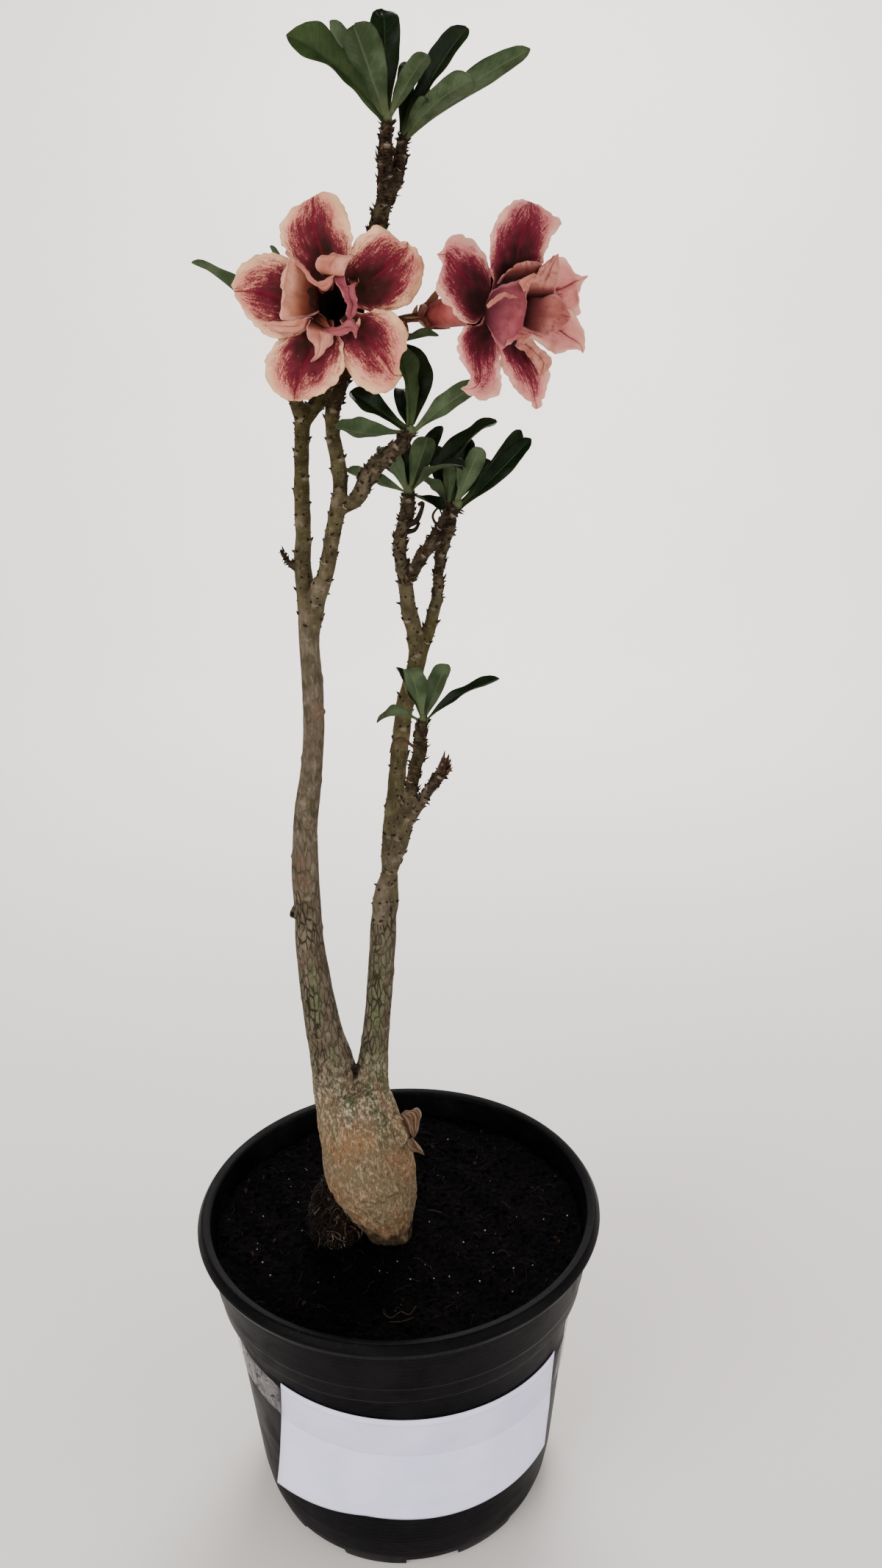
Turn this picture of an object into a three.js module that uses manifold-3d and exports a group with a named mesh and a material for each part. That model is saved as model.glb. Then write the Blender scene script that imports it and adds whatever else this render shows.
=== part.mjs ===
// A potted desert rose (Adenium), in millimetres, +Z up.
// The origin is the centre of the pot's flat bottom, and -Y is the side that carries the paper label.
// The plant rises from a swollen base, forks into two trunks, and ends in rosettes of leaves and two blooms.
import * as THREE from "three";
import { mergeVertices } from "three/addons/utils/BufferGeometryUtils.js";
import Module from "manifold-3d";

const wasm = await Module();
wasm.setup();

// ---------------------------------------------------------------- sizes

const GAP = 0.3; // clearance between pieces that touch
const ROUND_SIDES = 36; // facets round the pot and the soil

// Pot outline from the middle of the bottom, out and up the wall, over the rolled rim and down the inside:
// [radius, height].
const POT_OUTLINE = [
  [0, 0], [40, 0], [41.5, 4.5], [60, 4.5], [61.5, 0], [71.4, 0], [74.6, 9], [76.6, 20], [85.4, 105],
  [86.6, 116.5], [90.8, 119], [94.6, 147], [98, 149.5], [100, 153.5], [97.5, 157.4],
  [93.3, 156], [91.6, 144], [84.7, 116], [74.6, 20], [70, 7.5], [0, 7.5],
];
const WALL_FOOT = { radius: 76.6, height: 20 }; // the straight wall runs from here
const WALL_TOP = { radius: 85.4, height: 105 }; // to here, under the collar
const NOTCHES = 8;
const NOTCH = { width: 26, height: 4.5, radius: 66, depth: 22, firstDegrees: -79 };
const DRAIN = { radius: 4.5, ring: 50.5, length: 24, sides: 8 };

const SOIL_TOP = 144;
const SOIL_RINGS = [24, 42, 60, 77];
const SOIL_OUTLINE = [[91.6, 144], [84.7, 116], [74.6, 20], [70, 7.5]]; // the inside of the pot
const SOIL_GAP = 0.35;
const ROOT_GAP = 0.6; // clearance round the swollen base where it stands in the soil

// The clump of old roots and fibre under the left side of the swollen base.
const CLUMP = { centre: [-30, -5, 146], radii: [17, 18, 22] };
const FIBRE = { count: 14, length: 8, uneven: 2, radius: 0.6, sunk: 0.15 };

// Sheet on the wall: each edge is given at its left and right end, in degrees round the pot from the front.
const LABEL = {
  thickness: 0.6,
  offset: 0.45,
  top: { left: -39, right: 60.5, leftHeight: 107.5, rightHeight: 99 },
  bottom: { left: -45, right: 63.5, leftHeight: 41, rightHeight: 33.5 },
  liftedCorner: 6.5, // how far the lower left corner stands off the wall
  looseShare: 0.3, // share of the width, from the left, that is loose
  rows: [0, 0.4, 0.75, 1],
  columns: 12,
};
// The tape's middle line drops to the right by "slope" for each degree, and the tape stays lifted for "overhang"
// degrees past the label's edges.
const TAPE = {
  thickness: 0.6, halfWidth: 9.7, reach: 112, middleHeight: 91.5, slope: -0.095, columns: 26, overhang: 8,
  onLabel: 1.5, onLoosePart: 2.3, loosePart: 30,
};

// Stems: [x, y, z, radius] along each one, with the number of sides.
const STEMS = {
  caudex: { sides: 14, ripple: 0.035, path: [
    [-3, -12, 119, 8], [-4, -11, 138, 9.5], [-5, -10, 147, 11.5], [-8, -7, 158, 17.5], [-12, -4, 169, 21.3],
    [-14.5, -3, 180, 21.8], [-17, -2, 195, 20.5], [-19.3, -1, 207, 19.3], [-20.8, -1, 218, 17.2],
    [-21.2, -1, 224, 15],
  ] },
  trunkLeft: { sides: 10, ripple: 0.045, path: [
    [-22, -1, 196, 13], [-26.5, -1, 213, 12.2], [-30.1, -2, 238, 10], [-32.7, -3, 254, 8.6],
    [-34.5, -4, 271, 7.8], [-35.8, -5, 287, 7.1], [-36.8, -6, 302, 6.6], [-36.7, -6, 317, 6.1],
    [-36.8, -7, 337, 6.1], [-35.3, -7, 360, 5.4], [-32.1, -8, 380, 5], [-29.5, -8, 400, 4.7],
    [-28.8, -9, 423, 4.5], [-29.2, -9, 439, 4.5], [-28.8, -9, 453, 4.6],
  ] },
  leftTall: { sides: 8, ripple: 0.03, path: [
    [-28.8, -9, 444, 4.2], [-29.9, -8, 463, 3.8], [-30.4, -7, 474, 3.5], [-29.7, -6, 484, 3.3],
    [-29.5, -5, 499, 3.3], [-29.2, -4, 510, 3.1], [-28.4, -4, 522, 3.1], [-27.3, -4, 533, 3.3],
  ] },
  leftForward: { sides: 7, ripple: 0.03, path: [
    [-27.6, -4, 528, 3], [-29.6, -6, 537, 2.7], [-30, -10, 545, 2.5], [-29, -13, 552, 2.4],
  ] },
  leftBack: { sides: 7, ripple: 0.04, path: [
    [-27.4, -4, 529, 3.1], [-22.4, 0, 535.5, 3.2], [-16.6, 6, 544, 3.3], [-10.9, 9, 558, 3.3],
    [-5, 9, 577, 3.2], [0.8, 8, 591, 3.3], [4, 7, 600, 3.5], [7, 6, 609, 3.3], [8.8, 6, 616, 3.1],
  ] },
  topLeft: { sides: 7, ripple: 0.05, path: [
    [8, 6, 612, 3.1], [7.9, 5, 620.6, 3], [8.1, 4, 625.5, 2.8], [8.6, 3, 630.3, 2.6], [9.2, 2, 635, 2.3],
  ] },
  topRight: { sides: 7, ripple: 0.05, path: [
    [8.4, 6, 611, 2.8], [12, 9, 618, 2.7], [13.2, 11, 622.8, 2.5], [13.9, 12, 627.3, 2.4],
    [14.6, 13, 631, 2.2],
  ] },
  leftMiddle: { sides: 8, ripple: 0.035, path: [
    [-28.4, -9, 446, 4.2], [-24.2, -14, 461, 3.9], [-20.2, -17, 470.4, 3.4], [-17.9, -19, 479.5, 3.2],
    [-15.9, -20, 488.2, 3.2], [-13.7, -21, 496.8, 3.3], [-12.4, -21, 505.2, 3], [-13.1, -21, 515, 3.1],
    [-14.5, -21, 524.6, 2.8], [-14.2, -21, 532.7, 2.9], [-11.7, -21, 539.4, 2.8], [-9, -20, 546, 2.5],
    [-6.8, -19, 552, 2.2],
  ] },
  leftSide: { sides: 7, ripple: 0.05, path: [
    [-13.5, -21, 496, 2.8], [-6.4, -24, 499.7, 3], [-2.3, -26, 506.4, 3.3], [2, -27, 512.4, 3.5],
    [7.6, -28, 517.2, 3], [11.6, -28, 519.8, 2.9], [14.2, -28, 523.2, 2.6],
  ] },
  trunkRight: { sides: 10, ripple: 0.045, path: [
    [-15.5, 0, 195, 12], [-13.4, 0, 212, 10.7], [-11.2, 0, 228, 7.8], [-9.8, 1, 240, 6.8],
    [-7.9, 2, 255, 6.3], [-6.3, 3, 270, 6.1], [-4.8, 3, 285.5, 6], [-3.4, 3, 300, 6.3], [-2.4, 4, 312, 5.6],
  ] },
  rightLow: { sides: 8, ripple: 0.035, path: [
    [-3.6, 3, 304, 4.6], [-3.6, -1, 319, 3.9], [-1, -4, 329.5, 3.6], [3.1, -6, 341, 3.5],
    [7.1, -8, 352, 3.5], [9.7, -9, 364.5, 3.3], [11.3, -10, 373, 3], [14.2, -11, 387, 2.8],
    [16.3, -12, 394, 3], [16.2, -12, 400, 2.7], [17.3, -12, 405, 2.5],
  ] },
  rightLowDead: { sides: 7, ripple: 0.08, path: [
    [10.2, -9, 360, 2.5], [15.3, -11, 368.5, 2.3], [19.7, -13, 376, 2.3], [23.9, -14, 382, 2.5],
    [26, -15, 386, 2.2], [27.5, -15, 389.5, 1],
  ] },
  rightTall: { sides: 8, ripple: 0.03, path: [
    [-2.4, 5, 304, 4.4], [0.2, 9, 315, 3.9], [0, 12, 326.4, 3.8], [0.3, 13, 337, 3.9], [1.8, 14, 351, 4.1],
    [3.9, 14, 365.4, 4], [5.6, 14, 379.5, 4], [7.4, 14, 393.3, 4], [9.4, 14, 407, 4], [12.6, 13, 417, 4.1],
    [15.2, 13, 427, 4.1], [16.6, 12.5, 437, 4.2],
  ] },
  rightMiddle: { sides: 7, ripple: 0.045, path: [
    [15.8, 12, 429, 3.8], [14.3, 10, 442.3, 3.6], [12.3, 9, 450.5, 3.5], [11.6, 8, 458.5, 3.2],
    [10.6, 7, 466.5, 3], [9.3, 7, 474.3, 2.7], [9.4, 7, 480.4, 2.7], [11.2, 7, 486.4, 2.9],
    [12.9, 7, 492.4, 3.1], [13.7, 7, 498, 2.8],
  ] },
  rightSide: { sides: 6, ripple: 0.06, path: [
    [10.9, 7.4, 462, 2.6], [14.7, 4, 467, 2.6], [17.4, 2, 472.6, 2.6], [21.8, 0, 478, 2.7],
    [25.3, -1, 483.4, 2.7], [29, -2, 489.1, 2.7], [32.7, -3, 493.8, 2.6],
  ] },
  rightBack: { sides: 6, ripple: 0.06, path: [
    [16.6, 12, 431, 3.6], [21, 14, 441.4, 2.9], [23, 15, 448.6, 2.8], [24.8, 16, 455, 2.4],
    [25.3, 16, 463.4, 2.2], [26.4, 16, 471.3, 2.4], [28.1, 16, 478, 2.7], [30.7, 16, 485.2, 2.7],
    [31.2, 15, 491.4, 2.4],
  ] },
  deadTwigLeft: { sides: 6, ripple: 0.08, path: [
    [-30.4, -7.4, 470, 2], [-33.5, -8, 472.4, 1.9], [-35.6, -9, 473.6, 1.3], [-37.4, -10, 476.4, 1],
    [-38.6, -10, 479, 0.8],
  ] },
  deadTwigRight: { sides: 5, ripple: 0.1, path: [
    [14.6, -12, 395, 1.2], [11.6, -14.5, 397.5, 0.9], [8, -16, 400.5, 0.8], [5, -16.5, 399, 0.8],
    [4, -16.5, 395, 0.7],
  ] },
  rootStub: { sides: 7, ripple: 0.1, path: [
    [-4, -6, 203, 4.5], [2.5, -8, 202, 4], [6, -9.5, 197, 3.4], [5.5, -10, 189, 2.2], [8, -11, 182, 1.2],
  ] },
};

// Stems that carry the sharp remains of old leaf stalks: the share of the path where they begin,
// and their spacing.
const SPURS = [
  ["topLeft", 0, 5.2], ["topRight", 0.1, 5.2], ["leftBack", 0.4, 10], ["leftTall", 0.2, 22],
  ["leftMiddle", 0.3, 12], ["leftSide", 0.2, 6], ["rightLow", 0.45, 8], ["rightLowDead", 0.15, 6],
  ["rightTall", 0.3, 22],
  ["rightMiddle", 0.1, 8.5], ["rightSide", 0.15, 6], ["rightBack", 0.1, 7], ["trunkLeft", 0.5, 30],
];
// A remnant's length past the bark and its root radius, how deep its root is sunk (share of the stem's
// radius), how far it leans along the stem, and the share of the stem where the last one stands.
const SPUR = { length: 2.6, radius: 0.75, sunk: 0.3, lean: 0.45, last: 0.95 };

// Knobs and scars of pruned branches: [x, y, z, radius].
const KNOBS = [
  [-42.5, -8.5, 317, 3.2], [-38.5, -10.5, 331, 3.4], [-33.5, -12, 361, 2.6], [-26.2, -11.5, 411, 2.6],
  [-6.2, -3.4, 296, 3], [-14, -23, 533, 1.9], [1, -28, 511, 2.4],
];

// Leaves: each rosette grows on from a stem's end. A leaf is [tip x, tip y, tip z, width, turn, arch, sweep]:
// turn is how far its upper face turns to the front (to the back where it is negative), in degrees,
// arch is how far its middle bulges up and sweep how far it bulges sideways, as shares of its length.
const ROSETTES = {
  leaves_top_left: { stem: "topLeft", length: 9, leaves: [
    [-25, -12, 662, 15, 48, 0.05, 0.04], [-11, 8, 671, 9, -45, 0, 0.05], [-1, -17, 663, 14, -62, 0.04, 0],
    [25, -6, 656, 8, -45, 0.14, 0], [9, 11, 676, 11.5, 60, 0.05, 0], [1, 17, 665, 9, 45, 0.08, 0]] },
  leaves_top_right: { stem: "topRight", length: 8, leaves: [
    [42, -6, 648, 9.5, -52, 0.04, 0.06], [64, 14, 662, 8.5, -50, 0, 0.04], [40, 8, 668, 11, 42, 0, -0.06],
    [24, 3, 644, 4.5, -35, 0.1, 0], [26, 25, 652, 9, 50, 0.06, 0], [17, 23, 661, 7, 40, 0.06, 0]] },
  leaves_left_forward: { stem: "leftForward", length: 8, leaves: [
    [-66, -4, 589, 10, -38, 0.06, 0], [-38, 9, 595, 7, -40, 0.06, 0], [-24, -1, 597, 8, 30, 0.04, 0]] },
  leaves_left_middle: { stem: "leftMiddle", length: 7, leaves: [
    [27, -18, 560.5, 7, 8, 0.02, 0], [-22, -12, 555, 6, 20, 0.1, 0]] },
  leaves_left_side: { stem: "leftSide", length: 9, leaves: [
    [-12, -38, 528, 9.5, -48, 0.12, 0.05], [-7, -22, 540, 9, 55, 0.03, -0.02],
    [42, -32, 542, 8, -42, 0.04, 0.02], [14, -15, 541, 9.5, 62, 0.06, -0.08],
    [12, -31, 556, 9.5, 38, 0, 0.08], [15, -20, 557, 10.5, 58, 0, 0.13]] },
  leaves_right_middle: { stem: "rightMiddle", length: 10, leaves: [
    [31, 10, 490, 7.5, 25, 0.04, 0], [-12, 9, 509, 7, -42, 0.06, 0.06], [37, -9, 511, 8, 18, 0.14, 0],
    [3, -3, 519, 9, -55, 0.04, 0], [49, 1, 529, 9.5, 30, 0.03, 0.03], [11, 15, 520, 8, 50, 0.08, 0],
    [22, -1, 522, 10, -60, 0.04, 0], [28, 13, 526, 6.5, 40, 0.1, 0]] },
  leaves_right_side: { stem: "rightSide", length: 8, leaves: [
    [63, -9, 521, 8.5, 18, 0.04, 0.03], [60, 1, 524, 8, 45, 0, 0.06], [43, -9, 518, 8, -50, 0.03, 0],
    [34, -2, 510, 6, -35, 0.05, 0]] },
  leaves_right_back: { stem: "rightBack", length: 8, leaves: [
    [19, 15, 505, 8, -32, 0.08, 0], [49, 28, 511, 8, 30, 0.08, 0], [24, 26, 518, 9, 50, 0.05, 0],
    [39, 20, 521, 9.5, 55, 0.06, 0], [31, 11, 511, 5.5, -40, 0.05, 0]] },
  leaves_right_low: { stem: "rightLow", length: 9, leaves: [
    [-2, -13, 407, 8.5, -38, 0.2, 0.05], [50, -15, 425, 6.5, 22, 0.12, 0.05], [7, -7, 429, 7, 12, 0.04, 0],
    [28, -3, 429, 9, -48, 0.05, 0], [13, -21, 432, 9.5, -60, 0.06, 0]] },
};
// A leaf's thickness, then how far its halves fold up (share of the half-width) and its edges wave
// (share of the width).
const LEAF = { thickness: 0.8, fold: 0.3, wave: 0.06, waves: 9 };
// Half-width of a leaf and of a petal along its length: [share of the length, share of the half-width].
const LEAF_OUTLINE = [[0, 0.2], [0.2, 0.32], [0.45, 0.8], [0.7, 1], [0.9, 0.68], [1, 0.12]];
const PETAL_OUTLINE = [[0, 0.3], [0.2, 0.52], [0.45, 0.9], [0.7, 1], [0.9, 0.74], [1, 0.14]];
const INNER_PETAL_OUTLINE = [[0, 0.4], [0.35, 0.8], [0.72, 1], [1, 0.25]];

// Blooms: the mouth of the tube, the way it faces, and its petals.
// A petal is [degrees round the mouth, reach, half-width, height of its middle, height of its tip, cup, tilt].
const BLOOMS = {
  bloom_left: {
    mouth: [-10.5, -33, 569], axis: [-0.05, -1, 0.02], tube: 27, stem: "leftForward",
    stalk: [[-29.6, -10.5, 547.5], [-24, -6, 553.5], [-17, -3, 561]],
    outer: [
      [101, 39, 13.5, 3, -1, 0.05, 0.12], [35, 37, 16, 4, 1, 0.04, 0.12], [-46, 36, 15, 3, -1, 0.05, 0.12],
      [244, 38, 16.5, 3, 1, 0.05, 0.12], [170, 37.5, 15, 3, 0, 0.05, 0.12]],
    inner: [
      [178, 18.5, 10, 6, 5, 0.05, 0], [252, 22, 6, 6, 6, 0.1, 0], [312, 14, 6.5, 6, 7, 0.1, 0],
      [5, 10.5, 8, 6, 10, 0, 0], [72, 16, 8, 8, 5, -0.1, 0]],
  },
  bloom_right: {
    mouth: [45, -39, 568], axis: [0.58, -0.81, 0.02], tube: 34, stem: "leftMiddle",
    stalk: [[-8.8, -19.5, 547], [-6.5, -14, 552], [1, -12.5, 560.5], [12, -11.5, 565.5]],
    outer: [
      [55, 40, 17, 3, 1, 0.05, 0.12], [152, 26, 16, 2, -2, 0.05, 0.12], [256, 34, 10, 3, 1, 0.05, 0.12],
      [297, 41, 11, 3, 1, 0.05, 0.12], [2, 44, 16.5, 3, 3, 0.05, 0.12]],
    inner: [
      [215, 11, 10, 10, 17, 0, 0], [100, 13, 9, 8, 12, 0, 0], [52, 21, 8, 9, 14, 0, 0],
      [343, 26, 10, 9, 15, 0, 0], [290, 19, 7, 7, 9, 0.1, 0]],
  },
};
// A petal's thickness, how deep its root sits in the mouth, the wave of its edges, and the radius at which
// the outer petals and the inner lobes start.
const PETAL = { thickness: 0.8, rootDepth: 3.5, wave: 0.5, waves: 11, outerStart: 7.4, innerStart: 6.3 };
// Outline of the flower tube: down its outside to the base, then up inside it: [radius, share of its length].
const TUBE_OUTLINE = [
  [0, -1], [2.6, -0.98], [4.6, -0.82], [5.2, -0.5], [6.4, -0.22], [8.6, 0],
  [7.8, 0.02], [5.4, -0.25], [4, -0.5], [0, -0.75],
];
// The calyx cup behind the tube: [radius, height below its rim], then its pointed lobes and its stalk.
const CALYX_CUP = [[0, -2.4], [2, -2.2], [4.4, -0.8], [4.4, 0], [0, 0]];
const SEPAL = { count: 5, length: 8.5, radius: 1.5, outward: 4.4, lean: 0.3, root: 0.7, firstDegrees: 20 };
const STALK = { radius: 1.3, thickening: 0.08, sunk: 1.9 };

const COLOURS = {
  pot: [0x2a292d, 0.72], soil: [0x15110f, 0.97], paper: [0xe6e8f2, 0.8], tape: [0xbdb9bf, 0.25],
  wood: [0x8d8063, 0.85], leaf: [0x4d6d44, 0.42], petal: [0xd88f88, 0.6], calyx: [0xa96f52, 0.7],
};

// ---------------------------------------------------------------- solids

const degrees = THREE.MathUtils.degToRad;
const vector = (p) => new THREE.Vector3(p[0], p[1], p[2]);

// A closed list of triangles as a solid whose faces point out.
function solidOf(points, triangles) {
  const vertProperties = new Float32Array(points.flatMap((p) => [p.x, p.y, p.z]));
  const build = (list) => new wasm.Manifold(
    new wasm.Mesh({ numProp: 3, vertProperties, triVerts: new Uint32Array(list.flat()) }),
  );
  const solid = build(triangles);
  return solid.volume() > 0 ? solid : build(triangles.map(([a, b, c]) => [a, c, b]));
}

function solidFrom(geometry) {
  geometry.deleteAttribute("normal");
  geometry.deleteAttribute("uv");
  const merged = mergeVertices(geometry, 1e-4);
  return new wasm.Manifold(
    new wasm.Mesh({
      numProp: 3,
      vertProperties: new Float32Array(merged.attributes.position.array),
      triVerts: new Uint32Array(merged.index.array),
    }),
  );
}

function geometryFrom(solid) {
  const mesh = solid.getMesh();
  const geometry = new THREE.BufferGeometry();
  geometry.setAttribute("position", new THREE.BufferAttribute(new Float32Array(mesh.vertProperties), 3));
  geometry.setIndex(new THREE.BufferAttribute(new Uint32Array(mesh.triVerts), 1));
  geometry.computeVertexNormals();
  return geometry;
}

const joined = (solids) => solids.reduce((whole, piece) => whole.add(piece));

// Joins the pieces and drops any scrap that the joining cut loose.
function oneBody(solid) {
  const bodies = solid.decompose();
  return bodies.reduce((best, body) => (body.volume() > best.volume() ? body : best));
}

function revolved(outline, sides) {
  const profile = outline.map(([r, z]) => new THREE.Vector2(r, z));
  return new THREE.LatheGeometry(profile, sides).rotateX(Math.PI / 2);
}

// Closes two equal grids of points, the upper and the lower face of a sheet, into a thin solid.
function slab(upper, lower) {
  const rows = upper.length;
  const columns = upper[0].length;
  const points = [...upper.flat(), ...lower.flat()];
  const top = (i, j) => i * columns + j;
  const under = (i, j) => rows * columns + top(i, j);
  const triangles = [];
  const quad = (a, b, c, d) => triangles.push([a, b, c], [a, c, d]);
  for (let i = 0; i < rows - 1; i++) {
    for (let j = 0; j < columns - 1; j++) {
      quad(top(i, j), top(i + 1, j), top(i + 1, j + 1), top(i, j + 1));
      triangles.push([under(i, j), under(i + 1, j + 1), under(i + 1, j)]);
      triangles.push([under(i, j), under(i, j + 1), under(i + 1, j + 1)]);
    }
    quad(top(i, 0), under(i, 0), under(i + 1, 0), top(i + 1, 0));
    const end = columns - 1;
    quad(top(i + 1, end), under(i + 1, end), under(i, end), top(i, end));
  }
  for (let j = 0; j < columns - 1; j++) {
    const end = rows - 1;
    quad(top(0, j + 1), under(0, j + 1), under(0, j), top(0, j));
    quad(top(end, j), under(end, j), under(end, j + 1), top(end, j + 1));
  }
  return solidOf(points, triangles);
}

// ---------------------------------------------------------------- stems

function stemCurve(path) {
  return new THREE.CatmullRomCurve3(path.map(vector), false, "centripetal");
}

// Radius of a stem at a share of its path, counted in stations.
function stemRadius(path, share) {
  const at = Math.min(share * (path.length - 1), path.length - 1.001);
  const k = Math.floor(at);
  return path[k][3] + (path[k + 1][3] - path[k][3]) * (at - k);
}

// A knotty stem with flat ends. "extra" swells it evenly, for a hole that clears it.
function stem({ path, sides, ripple }, extra = 0, step = 10) {
  const curve = stemCurve(path);
  const rings = Math.ceil(curve.getLength() / step) + 1;
  const points = [];
  const triangles = [];
  let normal = new THREE.Vector3(1, 0, 0);
  for (let i = 0; i <= rings; i++) {
    const share = i / rings;
    const centre = curve.getPoint(share);
    const tangent = curve.getTangent(share);
    normal = normal.clone().addScaledVector(tangent, -normal.dot(tangent)).normalize();
    const side = new THREE.Vector3().crossVectors(tangent, normal);
    const reach = share === 0 ? -extra : share === 1 ? extra : 0;
    centre.addScaledVector(tangent, reach);
    for (let j = 0; j < sides; j++) {
      const angle = (2 * Math.PI * j) / sides;
      const knots = 1 + ripple * (Math.sin(1.9 * i + 2 * angle) + 0.8 * Math.sin(3.1 * i - 3 * angle));
      const radius = stemRadius(path, share) * knots + extra;
      points.push(centre.clone()
        .addScaledVector(normal, radius * Math.cos(angle))
        .addScaledVector(side, radius * Math.sin(angle)));
    }
  }
  const bottom = points.length;
  points.push(curve.getPoint(0).addScaledVector(curve.getTangent(0), -extra));
  points.push(curve.getPoint(1).addScaledVector(curve.getTangent(1), extra));
  for (let j = 0; j < sides; j++) {
    const next = (j + 1) % sides;
    for (let i = 0; i < rings; i++) {
      const a = i * sides;
      const b = a + sides;
      triangles.push([a + j, a + next, b + next], [a + j, b + next, b + j]);
    }
    triangles.push([bottom, next, j], [bottom + 1, rings * sides + j, rings * sides + next]);
  }
  return solidOf(points, triangles);
}

// The stub of an old leaf stalk: a three-sided thorn whose root is sunk in the stem.
function spur(root, direction, length, radius) {
  const cone = new THREE.ConeGeometry(radius, length, 3);
  cone.translate(0, length / 2, 0);
  cone.applyQuaternion(new THREE.Quaternion().setFromUnitVectors(new THREE.Vector3(0, 1, 0), direction));
  cone.translate(root.x, root.y, root.z);
  return solidFrom(cone);
}

function spursOn(name, start, spacing) {
  const { path } = STEMS[name];
  const curve = stemCurve(path);
  const count = Math.round((curve.getLength() * (1 - start)) / spacing);
  const golden = degrees(137.5);
  return Array.from({ length: count }, (_, k) => {
    const share = start + ((k + 0.5) / count) * (SPUR.last - start);
    const tangent = curve.getTangent(share);
    const around = new THREE.Vector3(Math.cos(k * golden), Math.sin(k * golden), 0);
    around.addScaledVector(tangent, -around.dot(tangent)).normalize();
    const radius = stemRadius(path, share);
    const root = curve.getPoint(share).addScaledVector(around, radius * (1 - SPUR.sunk));
    const direction = around.clone().addScaledVector(tangent, SPUR.lean).normalize();
    const uneven = 0.75 + 0.25 * Math.sin(5 * k);
    return spur(root, direction, radius * SPUR.sunk + SPUR.length * uneven, SPUR.radius);
  });
}

function knob([x, y, z, radius]) {
  const ball = new THREE.IcosahedronGeometry(radius, 0);
  ball.translate(x, y, z);
  return solidFrom(ball);
}

function plantWood() {
  const stems = Object.values(STEMS).map((each) => stem(each));
  const spurs = SPURS.flatMap(([name, start, spacing]) => spursOn(name, start, spacing));
  return oneBody(joined([...stems, ...KNOBS.map(knob), ...spurs]));
}

// ---------------------------------------------------------------- leaves

// A leaf from its root to its tip: arched along its length, folded along its midrib and waved at its edges.
function leaf(root, tip, [width, turn, arch, sweep], growth, phase) {
  const span = tip.clone().sub(root);
  const length = span.length();
  const forward = span.normalize();
  const front = new THREE.Vector3(0, -1, 0);
  const face = growth.clone().multiplyScalar(Math.cos(degrees(turn)));
  face.addScaledVector(front, Math.sin(degrees(turn)));
  face.addScaledVector(forward, -face.dot(forward)).normalize();
  const side = new THREE.Vector3().crossVectors(forward, face);
  const surface = (lift) => LEAF_OUTLINE.map(([share, breadth]) => [-1, 0, 1].map((edge) => {
    const half = (breadth * width) / 2;
    const bulge = length * 4 * share * (1 - share);
    const fold = LEAF.fold * half * Math.abs(edge);
    const wave = LEAF.wave * width * edge * Math.sin(LEAF.waves * share + phase);
    return root.clone()
      .addScaledVector(forward, length * share)
      .addScaledVector(side, half * edge + sweep * bulge)
      .addScaledVector(face, arch * bulge + fold + wave + lift);
  }));
  return slab(surface(LEAF.thickness / 2), surface(-LEAF.thickness / 2));
}

// The green end of a stem: its radius as shares of the wood's, at its foot, below its tip and at its tip,
// and where on it the lowest leaf grows and the highest one stops short of the tip, in millimetres.
const SHOOT = { foot: 0.92, shoulder: 0.78, tip: 0.41, shoulderAt: 0.6, lowestLeaf: 2.2, bareTip: 3 };

// A rosette: the green end of the stem, which starts just above the wood, with its leaves.
function rosette({ stem: name, length, leaves }) {
  const { path } = STEMS[name];
  const curve = stemCurve(path);
  const growth = curve.getTangent(1);
  const foot = curve.getPoint(1).addScaledVector(growth, GAP);
  const radius = path[path.length - 1][3];
  const at = (height) => foot.clone().addScaledVector(growth, height);
  const core = stem({
    sides: 5,
    ripple: 0,
    path: [
      [...at(0).toArray(), radius * SHOOT.foot],
      [...at(length * SHOOT.shoulderAt).toArray(), radius * SHOOT.shoulder],
      [...at(length).toArray(), radius * SHOOT.tip],
    ],
  }, 0, 4);
  const blades = leaves.map(([x, y, z, ...shape], k) => {
    const height = SHOOT.lowestLeaf + ((length - SHOOT.bareTip) * k) / leaves.length;
    const tip = new THREE.Vector3(x, y, z);
    const outward = tip.clone().sub(foot);
    outward.addScaledVector(growth, -outward.dot(growth)).normalize();
    return leaf(at(height).addScaledVector(outward, radius * SHOOT.tip), tip, shape, growth, 1.7 * k);
  });
  return oneBody(joined([core, ...blades]));
}

// ---------------------------------------------------------------- blooms

// The bloom's own directions: across, up and out of the mouth.
function bloomFrame({ mouth, axis }) {
  const out = vector(axis).normalize();
  const across = new THREE.Vector3(0, 0, 1).cross(out).normalize();
  const up = new THREE.Vector3().crossVectors(out, across);
  return { out, across, up, mouth: vector(mouth) };
}

// A petal as a curved blade in polar form: it leaves the mouth, spreads out and ends in a short point.
function petal(frame, [turn, reach, half, middle, tipHeight, cup, tilt], start, outline, columns) {
  const rib = new THREE.CatmullRomCurve3([
    new THREE.Vector3(start, -PETAL.rootDepth, 0),
    new THREE.Vector3(start + 0.18 * (reach - start), middle * 0.6, 0),
    new THREE.Vector3(start + 0.55 * (reach - start), middle, 0),
    new THREE.Vector3(reach, tipHeight, 0),
  ]);
  const surface = (lift) => outline.map(([share, breadth]) => {
    const rise = rib.getPoint(share);
    const slope = rib.getTangent(share);
    return columns.map((edge) => {
      const aside = half * breadth * edge;
      const wave = PETAL.wave * edge * Math.sin(PETAL.waves * share + turn);
      const radius = rise.x - slope.y * lift;
      const height = rise.y + cup * half * breadth * edge * edge * 4 + tilt * aside + wave + slope.x * lift;
      const angle = degrees(turn) + aside / Math.max(rise.x, 4);
      return frame.mouth.clone()
        .addScaledVector(frame.across, radius * Math.cos(angle))
        .addScaledVector(frame.up, radius * Math.sin(angle))
        .addScaledVector(frame.out, height);
    });
  });
  return slab(surface(PETAL.thickness / 2), surface(-PETAL.thickness / 2));
}

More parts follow.
